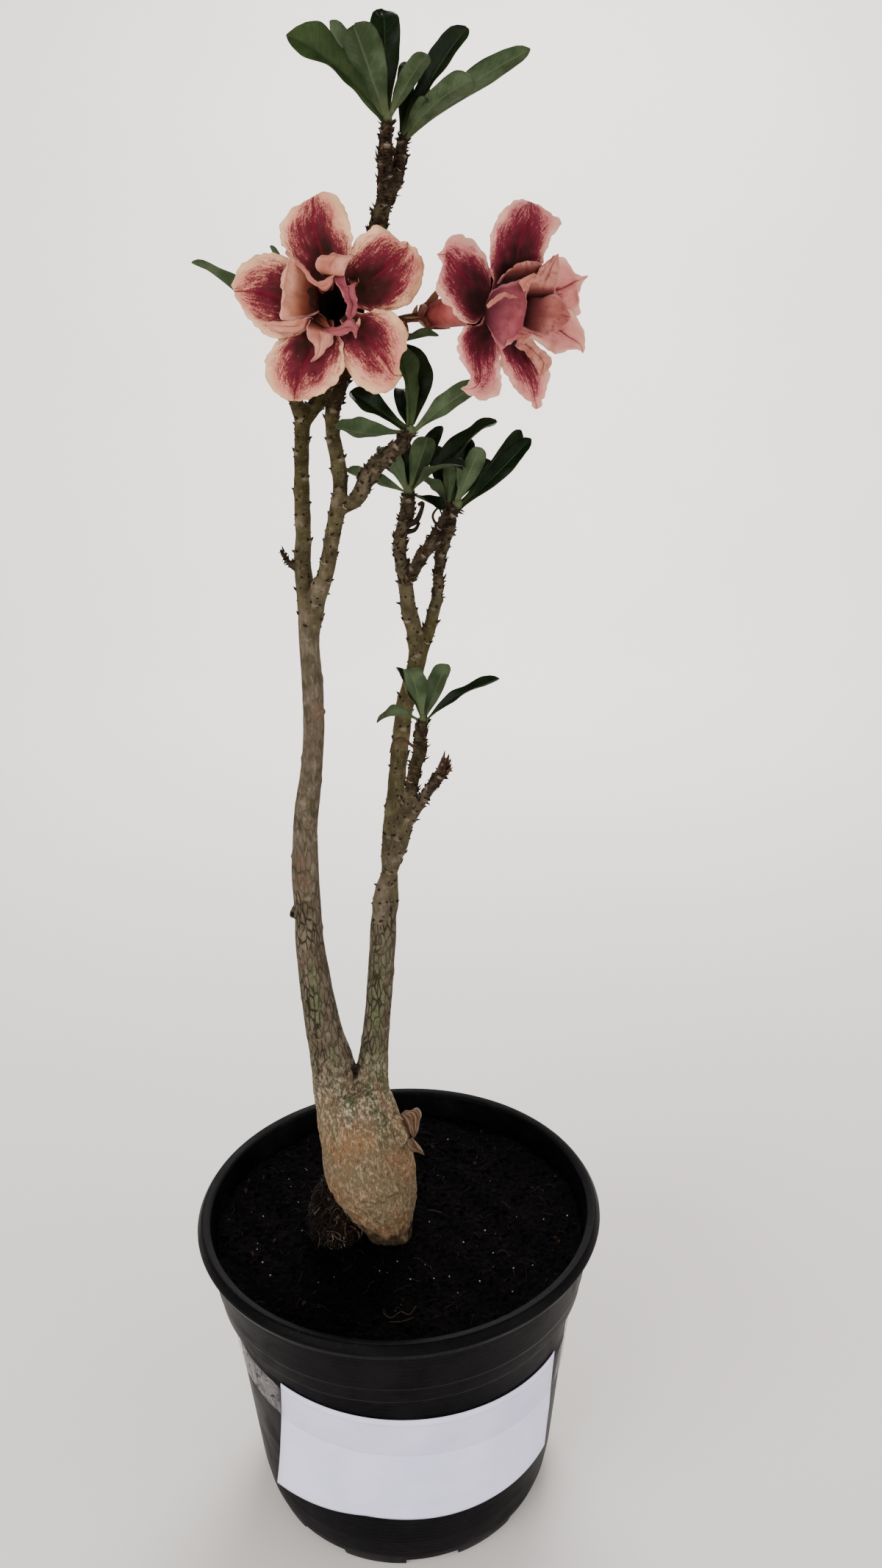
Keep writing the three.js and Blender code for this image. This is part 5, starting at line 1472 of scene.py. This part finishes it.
def leaf_grid(root, tip, shape, growth, phase):
    """The middle surface of a leaf: arched, folded along its midrib, and waved at its edges."""
    width, turn, arch, sweep = shape
    span = tip - root
    length = np.linalg.norm(span)
    forward = span / length
    face = growth * math.cos(math.radians(turn)) + FRONT * math.sin(math.radians(turn))
    face = unit(face - face.dot(forward) * forward)
    side = np.cross(forward, face)
    share, edge = share_and_edge(*LEAF_GRID)
    share = 1 - (1 - share) ** 1.25
    breadth = np.interp(share, LEAF_SHARES, LEAF_BREADTHS)
    half = breadth * width / 2
    bulge = length * 4 * share * (1 - share)
    fold = 0.5 * half * np.abs(edge) ** 1.15
    ripple = 0.06 * np.sin(17 * share + 2 * phase) * smoothstep(0.2, 0.5, share)
    wave = width * np.sign(edge) * edge**2 * (0.09 * np.sin(9 * share + phase) + ripple)
    groove = -0.35 * np.exp(-((edge / 0.09) ** 2)) * smoothstep(0, 0.15, share)
    curl = -0.05 * length * smoothstep(0.86, 1.0, share) * (0.5 + 0.5 * math.sin(3 * phase))
    lift = arch * bulge + fold + wave + groove + curl
    return (
        root + forward * (length * share)[..., None] + side * (half * edge + sweep * bulge)[..., None]
        + face * lift[..., None]
    )


def make_rosette(name, stem_name, length, leaves):
    """A short core that starts just beyond its stem's end, its leaves, and dry scales round its foot."""
    stations = np.array(STEMS[stem_name], dtype=float)
    fine = through(stations, 0.5)
    growth = unit(fine[-1, :3] - fine[-3, :3])
    foot = stations[-1, :3] + growth * STEM_GAP
    radius = stations[-1, 3]
    pile = Pile("across", "along", "under", "bark", "lit")
    share = np.linspace(0, 1, 12)
    line = foot + growth * (share * length * CORE_SHARE)[:, None]
    core_radius = radius * np.interp(share, [0, 0.5, 0.9, 1], [0.95, 0.8, 0.5, 0.2])
    bark = np.repeat(smoothstep(0.5, 0.1, share), CORE_SIDES)
    pile.add(*tube(line, core_radius, CORE_SIDES), across=0.5, along=0.08, under=1.0, bark=bark)
    across, along = blade_shares(*LEAF_GRID)
    for k, (x, y, z, *shape) in enumerate(leaves):
        height = 0.9 + (length - 2) * CORE_SHARE * k / len(leaves)
        tip = np.array([x, y, z], dtype=float)
        outward = tip - foot
        outward = unit(outward - outward.dot(growth) * growth)
        root = foot + growth * height + outward * radius * 0.5
        grid = leaf_grid(root, tip, shape, growth, 1.7 * k)
        points, faces, side = blade(grid, LEAF_THICKNESS, 0.6)
        lit = 1.0 if (name, k) in LIT_LEAVES else 0.08 * (k % 3)
        pile.add(points, faces, across=across, along=along, under=1 - side, lit=lit)
    rng = np.random.default_rng(len(name))
    for _ in range(LEAF_SCALES):
        out = unit(np.cross(growth, rng.normal(size=3)))
        root = foot + growth * rng.uniform(-0.6, 1.6) + out * radius * 0.85
        shape = (rng.uniform(1.8, 3.4), rng.uniform(0.5, 0.8), rng.uniform(0, 0.5))
        pile.add(*flake(root, out, growth, *shape, rng), across=0.5, along=0.5, under=1.0, bark=1.0)
    pile.piece(name + "_blades", LEAF_MATERIAL, "leaf", name)


# ---------------------------------------------------------------- blooms

# For each bloom: the centre of its mouth, the way it faces, the length of its tube, how cool its pinks
# are (0 to 1), how freckled its inner lobes are, the pixel of its centre, the share by which the roots of
# its petals are drawn in to it, and the line of its stalk.
BLOOMS = {
    "bloom_left": {
        "mouth": (-10.5, -33, 569), "axis": (-0.05, -1, 0.02), "tube": 27, "tone": 0.1, "freckled": 0.15,
        "centre": (450, 412), "inward": 0.4,
        "stalk": [(-29.6, -10.5, 547.5), (-24, -6, 553.5), (-17, -3, 561)],
    },
    "bloom_right": {
        "mouth": (45, -39, 568), "axis": (0.58, -0.81, 0.02), "tube": 34, "tone": 0.75, "freckled": 0.6,
        "centre": (664, 418), "inward": 0.55,
        "stalk": [(-8.8, -19.5, 547), (-6.5, -14, 552), (1, -12.5, 560.5), (12, -11.5, 565.5)],
    },
}
# Each petal: its left and its right edge from the mouth to the tip, in pixels of the photograph, the
# height of its rib over the mouth's plane at its root, one third, two thirds and its tip, how far the
# maroon heart reaches (0 to 1), and how far its two edges fold up.
PETALS = {
    "bloom_left": {
        "top": ([(431, 392), (414, 371), (396, 350), (381, 328), (380, 309), (390, 292), (406, 279),
            (428, 270)],
            [(455, 383), (476, 350), (479, 326), (474, 299), (468, 281), (456, 267), (441, 260),
            (428, 270)], (0, 3, 3.5, 0), 0.86, (-1.5, 1.5)),
        "right_upper": (
            [(466, 376), (472, 350), (484, 328), (500, 313), (516, 308), (529, 315), (541, 331),
            (555, 329)],
            [(494, 421), (513, 427), (535, 422), (557, 413), (570, 395), (577, 373), (574, 352),
            (555, 329)], (0, 3, 4, 2), 0.86, (1.5, -1.5)),
        "right_lower": (
            [(494, 426), (514, 421), (533, 424), (547, 436), (555, 456), (553, 471), (541, 492),
            (548, 511)],
            [(470, 452), (460, 466), (460, 482), (470, 500), (485, 523), (506, 535), (529, 534),
            (548, 511)], (0, 3, 3, -1), 0.74, (1.5, -1.5)),
        "left_lower": (
            [(456, 452), (466, 468), (469, 487), (466, 505), (458, 522), (443, 534), (424, 541),
            (401, 546)],
            [(415, 447), (388, 458), (370, 474), (360, 497), (362, 518), (374, 533), (388, 543),
            (401, 546)], (0, 3, 3.5, 0), 0.84, (1.5, -1.5)),
        "left": (
            [(418, 449), (396, 459), (376, 461), (360, 456), (346, 443), (334, 427), (324, 409),
            (319, 397)],
            [(418, 368), (397, 356), (377, 346), (357, 345), (338, 355), (323, 370), (315, 385),
            (319, 397)], (0, 3, 3.5, 1), 0.82, (1.5, -1.5)),
    },
    "bloom_right": {
        "top": ([(670, 384), (667, 359), (667, 328), (672, 305), (683, 287), (699, 275), (711, 271),
            (722, 276)],
            [(738, 360), (743, 342), (751, 322), (760, 311), (764, 301), (752, 291), (736, 281),
            (722, 276)], (0, 3, 3, 0), 0.9, (-1.5, 1.0)),
        "left": (
            [(650, 438), (640, 441), (625, 434), (611, 418), (596, 401), (596, 380), (606, 364),
            (594, 346)],
            [(668, 378), (663, 355), (652, 334), (638, 323), (622, 318), (611, 324), (603, 337),
            (594, 346)], (0, 2, 1, -3), 0.82, (1.5, -1.5)),
        "left_lower": (
            [(680, 460), (681, 482), (680, 505), (682, 525), (676, 540), (659, 544), (642, 539),
            (628, 529)],
            [(652, 441), (634, 442), (624, 458), (623, 479), (631, 498), (641, 510), (640, 518),
            (628, 529)], (0, 2, 2, 0), 0.74, (1.0, -1.5)),
        "right_lower": (
            [(708, 462), (728, 476), (738, 492), (746, 509), (744, 529), (735, 545), (736, 554),
            (729, 557)],
            [(678, 468), (682, 493), (691, 515), (702, 532), (715, 542), (722, 548), (725, 554),
            (729, 557)], (0, 3, 3, 1), 0.8, (1.5, -1.0)),
        "right": (
            [(712, 436), (738, 424), (765, 420), (783, 428), (792, 445), (795, 462), (793, 481)],
            [(700, 462), (722, 462), (742, 474), (757, 482), (772, 477), (784, 473), (793, 481)],
            (0, 1.6, 3.5, 3), 0.48, (1.6, 0.8)),
        "right_upper": (
            [(722, 380), (740, 360), (760, 348), (772, 357), (786, 374), (799, 376)],
            [(728, 428), (757, 430), (777, 434), (789, 426), (788, 396), (799, 376)],
            (0, 1.6, 4.5, 5), 0.43, (1.6, -0.8)),
    },
}
# Each inner lobe: its edges and heights in the same way, its two folds, how cool its pink is, and how far
# the shade at its root reaches (0 to 1).
INNER_LOBES = {
    "bloom_left": {
        "scoop": ([(434, 387), (424, 376), (413, 366), (404, 356), (395, 348), (391, 359), (384, 373),
            (382, 389)],
            [(434, 425), (424, 430), (412, 433), (398, 435), (384, 436), (382, 419), (387, 402),
            (382, 389)], (0, 4, 9, 8), (3.2, 2.2), 0.12, 0.5),
        "left_fold": ([(424, 431), (412, 433), (396, 435), (380, 437), (368, 438), (359, 437)],
            [(420, 446), (412, 449), (400, 454), (386, 453), (371, 448), (359, 437)],
            (3, 6, 6, 4), (0.5, 0.0), 0.3, 0.15),
        "rim": ([(390, 340), (401, 352), (417, 366), (425, 378), (434, 384), (446, 379), (455, 374)],
            [(388, 345), (398, 357), (413, 370), (421, 383), (433, 391), (445, 395), (455, 374)],
            (5, 9, 10, 10), (0.0, 0.0), 0.45, 0.0),
        "floor": ([(424, 430), (428, 440), (436, 445), (448, 446)],
            [(434, 426), (441, 431), (447, 438), (448, 446)], (0, 1, 2, 4), (0.0, 0.0), 0.0, 1.6),
        "pointed": ([(422, 434), (417, 449), (420, 462), (428, 472), (429, 480), (422, 493)],
            [(438, 444), (446, 452), (454, 456), (452, 465), (444, 475), (433, 487), (422, 493)],
            (3, 7, 8, 5), (1.6, -0.8), 0.35, 0.3),
        "frill": ([(438, 446), (445, 453), (455, 456), (463, 457), (470, 456), (474, 450), (478, 451),
            (484, 460)],
            [(439, 444), (450, 446), (460, 444), (469, 439), (474, 434), (481, 436), (487, 446),
            (484, 460)], (4, 7, 9, 9), (1.0, -0.8), 0.95, 0.2),
        "frill_tip": ([(481, 447), (484, 441), (489, 432)], [(486, 451), (490, 443), (489, 432)],
            (7, 8, 8, 8), (0.0, 0.0), 0.1, 0.6),
        "right_roll": ([(456, 376), (457, 386), (463, 394), (467, 401), (468, 409), (473, 417),
            (470, 426), (476, 435)],
            [(468, 373), (470, 382), (473, 390), (479, 389), (484, 384), (483, 396),
            (487, 409), (486, 421), (482, 429), (476, 435)], (6, 10, 11, 9), (2.2, 1.2), 1.0, 0.0),
        "right_tip": ([(473, 379), (476, 385), (478, 391)], [(488, 379), (487, 384), (483, 389),
            (478, 391)], (5, 7, 9, 10), (0.0, 0.0), 0.0, 1.3),
        "top_roll": ([(440, 375), (433, 368), (430, 357), (434, 350), (438, 347), (442, 351),
            (449, 346), (458, 346)],
            [(457, 376), (468, 374), (470, 366), (475, 358), (480, 351), (474, 349),
            (466, 347), (458, 346)], (5, 11, 10, 4), (1.4, 0.6), 0.3, 0.16),
    },
    "bloom_right": {
        "behind": ([(676, 386), (684, 375), (694, 366), (705, 359), (717, 355)],
            [(738, 380), (740, 370), (738, 362), (731, 357), (717, 355)],
            (3, 8, 10, 9), (0.0, 0.5), 0.55, 0.8),
        "inside": ([(716, 400), (738, 398), (757, 402), (770, 415), (777, 432)],
            [(708, 446), (722, 452), (740, 456), (757, 452), (777, 432)],
            (2, 5, 8, 9), (0.5, 0.5), 0.65, 0.55),
        "upper": ([(712, 404), (721, 386), (734, 366), (746, 355), (759, 345)],
            [(753, 404), (757, 392), (760, 378), (761, 361), (759, 345)],
            (5, 9, 11, 12), (0.5, 0.5), 0.55, 0.3),
        "right_fold": ([(700, 465), (714, 461), (728, 466), (740, 478), (750, 487), (747, 500), (735, 512)],
            [(698, 469), (706, 474), (716, 483), (724, 493), (729, 503), (732, 509), (735, 512)],
            (2, 6, 7, 4), (1.2, 0.6), 0.4, 0.0),
        "front": ([(660, 426), (663, 409), (675, 391), (692, 386), (712, 380), (715, 396), (717, 414),
            (710, 435)],
            [(660, 430), (664, 446), (675, 466), (684, 477), (693, 467), (704, 457), (710, 446),
            (710, 435)], (6, 13, 17, 16), (-2.4, -2.4), 0.95, 0.6),
        "spike": ([(698, 436), (706, 443), (713, 448), (724, 455)], [(688, 471), (700, 464),
            (714, 461), (724, 455)], (15, 16, 16, 17), (0.0, 0.0), 0.7, 0.0),
        "tab": ([(706, 384), (711, 379), (718, 375), (725, 373), (731, 377)],
            [(712, 397), (718, 394), (720, 387), (723, 382), (731, 377)],
            (16, 17, 17, 16), (0.5, 0.0), 0.3, 0.0),
        "front_lip": ([(662, 415), (668, 409), (678, 401), (687, 397), (694, 401), (704, 405)],
            [(664, 420), (671, 415), (680, 408), (687, 404), (695, 406), (704, 405)],
            (13, 17, 19, 18), (0.0, 0.0), 0.6, 0.0),
    },
}
PETAL_GRID = (46, 31)
LOBE_GRID = (40, 27)
PETAL_THICKNESS = 0.5
TUBE_SIDES = 64
# The tube, outside and in: [radius, height over the mouth as a share of the tube's length].
TUBE_OUTLINE = [
    (0, -1), (2.8, -1), (4.5, -0.95), (5.3, -0.82), (5.5, -0.5), (6.2, -0.2), (11, -0.025),
    (10.4, 0.0), (6.5, -0.04),
    (5.2, -0.25), (4, -0.5), (2.5, -0.7), (0, -0.75),
]


# The calyx's cup: [radius, height over the tube's end].
CALYX_CUP = [(0, -6.4), (2.4, -6.2), (4.4, -3.2), (4.9, 0), (0, 0)]
SEPALS = 5
SEPAL_TURN = math.radians(20)
SEPAL_GRID = (16, 9)
STALK_RADII = (1.35, 1.75)
BRACTS = 9
PETAL_VALUES = (
    "across", "along", "under", "seed", "spread", "reach", "stain", "ribbed", "inner", "throat", "tube",
    "point", "tone",
)


class BloomFrame:
    """A bloom's mouth and its own directions: across, up and out."""

    def __init__(self, shape):
        self.mouth = np.array(shape["mouth"], dtype=float)
        self.out = unit(np.array(shape["axis"], dtype=float))
        self.across = unit(np.cross(UP, self.out))
        self.up = np.cross(self.out, self.across)

    def cast(self, pixels, heights):
        """Points at given heights over the mouth's plane, behind given pixels."""
        rays = pixel_rays(pixels)
        on_plane = (self.mouth - CAMERA_PLACE) @ self.out + heights
        return CAMERA_PLACE + rays * (on_plane / (rays @ self.out))[..., None]

    def place(self, points):
        points = np.asarray(points, dtype=float)
        axes = (self.across, self.up, self.out)
        return self.mouth + sum(points[..., k:k + 1] * axis for k, axis in enumerate(axes))


def petal_grid(bloom_frame, left, right, heights, fold, ruffle, phase, size):
    """A petal's middle surface, ruled between its outlines, with a creased rib and ruffled edges."""
    share, edge = share_and_edge(*size)
    first = spline(left, size[0])[:, None]
    second = spline(right, size[0])[:, None]
    mix = (0.5 + 0.5 * edge)[..., None]
    pixels = first * (1 - mix) + second * mix
    field = np.stack([pixels[..., 0], pixels[..., 1], 0 * pixels[..., 0] + 50 * phase], axis=-1)
    ragged = (np.abs(edge) ** 3 + 0 * share) * smoothstep(0.05, 0.2, share) * ruffle
    jitter = np.stack([noise_at(field, 8, 3.0), noise_at(field, 8, 9.0)], axis=-1)
    pixels = pixels + 3.4 * ragged[..., None] * jitter
    rib = np.polyval(np.polyfit([0, 0.33, 0.67, 1], heights, 3), share) + 0 * edge
    side_fold = np.where(edge < 0, fold[0], fold[1]) * np.abs(edge) ** 1.6 * np.sin(math.pi * share)
    wavy = np.abs(edge) ** 2.5 * smoothstep(0.12, 0.45, share)
    waves = np.sin(13 * share + phase + 1.3 * edge) + 0.6 * np.sin(25 * share + 2.1 * phase - edge)
    buckle = noise_at(field, 13)
    crease = -0.8 * np.exp(-((edge / 0.12) ** 2)) * smoothstep(0.1, 0.4, share)
    roll = -1.1 * smoothstep(0.72, 1, np.abs(edge)) * smoothstep(0.1, 0.4, share)
    roll = roll - 1.2 * smoothstep(0.88, 1, share)
    height = rib + side_fold + ruffle * (wavy * waves + 1.1 * buckle) + crease + roll
    return bloom_frame.cast(pixels, height)


def make_bloom(name, shape):
    """The petals, the inner lobes and the tube of a bloom, as one piece."""
    bloom_frame = BloomFrame(shape)
    pile = Pile(*PETAL_VALUES)
    across, along = blade_shares(*PETAL_GRID)
    for k, (left, right, heights, reach, fold) in enumerate(PETALS[name].values()):
        inward = shape["inward"]
        root = np.array(shape["centre"]) * inward
        left, right = [[tuple(root + (1 - inward) * np.array(side[0])), *side] for side in (left, right)]
        grid = petal_grid(bloom_frame, left, right, heights, fold, 1.1, 1.9 * k, PETAL_GRID)
        points, faces, side = blade(grid, PETAL_THICKNESS, 0.55)
        facing = np.cross(grid[1, 0] - grid[0, 0], grid[0, 1] - grid[0, 0]) @ bloom_frame.out
        under = side if facing > 0 else 1 - side
        point = 0.7 * smoothstep(0.93, 1.0, along) * (1 - smoothstep(0.2, 0.7, np.abs(across)))
        pile.add(
            points, faces, across=across, along=along, under=under, seed=3.1 * k + len(name), spread=6.0,
            reach=reach, stain=0.97, ribbed=smoothstep(0.25, 0.5, along), point=point, tone=shape["tone"],
        )
    across, along = blade_shares(*LOBE_GRID)
    for k, (left, right, heights, fold, tone, reach) in enumerate(INNER_LOBES[name].values()):
        grid = petal_grid(bloom_frame, left, right, heights, fold, 0.85, 2.3 * k + 1, LOBE_GRID)
        points, faces, _ = blade(grid, PETAL_THICKNESS, 0.5)
        pile.add(
            points, faces, across=across, along=along, seed=5.7 * k, spread=2.0, inner=1.0, tone=tone,
            reach=reach, stain=shape["freckled"],
        )
    outline = rounded([(r, share * shape["tube"]) for r, share in TUBE_OUTLINE], 1.0)
    points, faces = lathe(outline, TUBE_SIDES)
    widest = np.hypot(points[:, 0], points[:, 1]).argmax()
    outside = (np.arange(len(points)) < widest) * 1.0
    # The last two points are the middles of the outer and of the inner bottom.
    outside[-2:] = (1, 0)
    flare = smoothstep(-0.5, -0.05, points[:, 2] / shape["tube"])
    # The inner side is painted near black as shade in the throat; the outer side gets the tube's pink.
    pile.add(bloom_frame.place(points), faces, tube=outside, throat=1.0 - outside, along=flare)
    pile.piece(name + "_flower", PETAL_MATERIAL, "petal", name + "_petals")


def make_calyx(name, shape):
    """The cup behind a bloom's tube, its sepals, its stalk and the dry bracts on it."""
    bloom_frame = BloomFrame(shape)
    floor = -shape["tube"] - STEM_GAP
    pile = Pile("green", "tan")
    points, faces = lathe(rounded([(r, floor + z) for r, z in CALYX_CUP], 0.8), 32)
    pile.add(bloom_frame.place(points), faces, green=0.2)
    share, edge = share_and_edge(*SEPAL_GRID)
    half = 2.9 * (1 - share**2.2) + 0.12
    for k in range(SEPALS):
        angle = 2 * math.pi * k / SEPALS + SEPAL_TURN
        out = np.array([math.cos(angle), math.sin(angle), 0])
        side = np.array([-math.sin(angle), math.cos(angle), 0])
        flare = (1.0 + 2.4 * (k % 2)) * smoothstep(0.25, 1, share)
        radius = 4.1 + 1.6 * share - 0.35 * np.abs(edge) + flare
        height = floor - 4.0 + 9.5 * share + 0 * edge
        grid = out * radius[..., None] + side * (half * edge)[..., None] + UP * height[..., None]
        points, faces, _ = blade(bloom_frame.place(grid), 0.5, 0.5)
        pile.add(points, faces, green=0.1, tan=0.85 * (k % 2))
    back = bloom_frame.mouth + bloom_frame.out * (floor - 5.6)
    line = spline(np.array([*shape["stalk"], tuple(back)]), 30)
    pile.add(*tube(line, np.linspace(*STALK_RADII, 30), 16), green=0.9)
    rng = np.random.default_rng(8)
    for k in range(BRACTS):
        along = unit(line[-1 - k] - line[-3 - k])
        out = unit(np.cross(along, rng.normal(size=3)))
        size = (rng.uniform(4, 6.5), rng.uniform(1.0, 1.6), rng.uniform(0.1, 0.5))
        bract = flake(line[-2 - k] + 1.3 * out, out, along, *size, rng, 0.3)
        pile.add(*bract, green=0.1, tan=0.9 * (k % 3 > 0))
    pile.piece(name + "_sepals", CALYX_MATERIAL, "calyx", name + "_calyx")


# ---------------------------------------------------------------- stage and light


# The floor's outline from its middle outwards, in metres: [radius, height].
STAGE_OUTLINE = [(0, 0), (1.6, 0), (2.3, 0.12), (2.75, 0.6), (2.9, 1.4), (2.95, 2.6)]
STAGE_SIDES = 96


def make_stage():
    """A pale floor that curves up far out into a low rim, so no edge shows behind the plant."""
    fine = spline(np.array(STAGE_OUTLINE), 40)
    angle = np.arange(STAGE_SIDES) * 2 * math.pi / STAGE_SIDES
    points = [(0, 0, 0)] + [(r * math.cos(a), r * math.sin(a), z) for r, z in fine[1:] for a in angle]
    faces = [(0, 1 + j, 1 + (j + 1) % STAGE_SIDES) for j in range(STAGE_SIDES)]
    faces += [tuple(reversed(face)) for face in ring_faces(len(fine) - 1, STAGE_SIDES, 1)]
    mesh = bpy.data.meshes.new("floor")
    mesh.from_pydata(points, [], faces)
    mesh.polygons.foreach_set("use_smooth", [True] * len(mesh.polygons))
    mesh.materials.append(floor_material())
    floor = bpy.data.objects.new("floor", mesh)
    bpy.context.collection.objects.link(floor)


# Soft boxes: name, place, what they look at, side length, all in metres, and watts.
SOFT_BOXES = [
    ("key", (-1.2, -1.3, 1.0), (0, 0, 0.3), 1.3, 34),
    ("fill", (1.5, -1.0, 0.8), (0, 0, 0.3), 1.4, 19),
    ("low_front", (0.1, -1.7, 0.35), (0, 0, 0.2), 1.2, 10),
    ("back", (0.2, 1.4, 1.9), (0, 2.3, 0.0), 0.9, 95),
]
SKY = (0.82, 0.79, 0.76)
SKY_STRENGTH = 0.36


def make_light():
    for name, place, target, size, watts in SOFT_BOXES:
        data = bpy.data.lights.new(name, "AREA")
        data.size = size
        data.energy = watts
        light = bpy.data.objects.new(name, data)
        light.location = place
        light.rotation_euler = (Vector(target) - Vector(place)).to_track_quat("-Z", "Y").to_euler()
        bpy.context.collection.objects.link(light)
    world = bpy.data.worlds.new("studio")
    world.use_nodes = True
    background = world.node_tree.nodes["Background"]
    background.inputs["Color"].default_value = (*SKY, 1)
    background.inputs["Strength"].default_value = SKY_STRENGTH
    bpy.context.scene.world = world


# ---------------------------------------------------------------- build

make_stage()
make_light()
make_pot()
make_label()
make_tape()
make_soil_bed()
make_soil_detail()
make_fibre_clump()
make_wood()
make_flakes()
make_root_flake()
for rosette_name, (stem_of, core_length, leaf_table) in ROSETTES.items():
    make_rosette(rosette_name, stem_of, core_length, leaf_table)
for bloom_name, bloom_shape in BLOOMS.items():
    make_bloom(bloom_name, bloom_shape)
    make_calyx(bloom_name, bloom_shape)
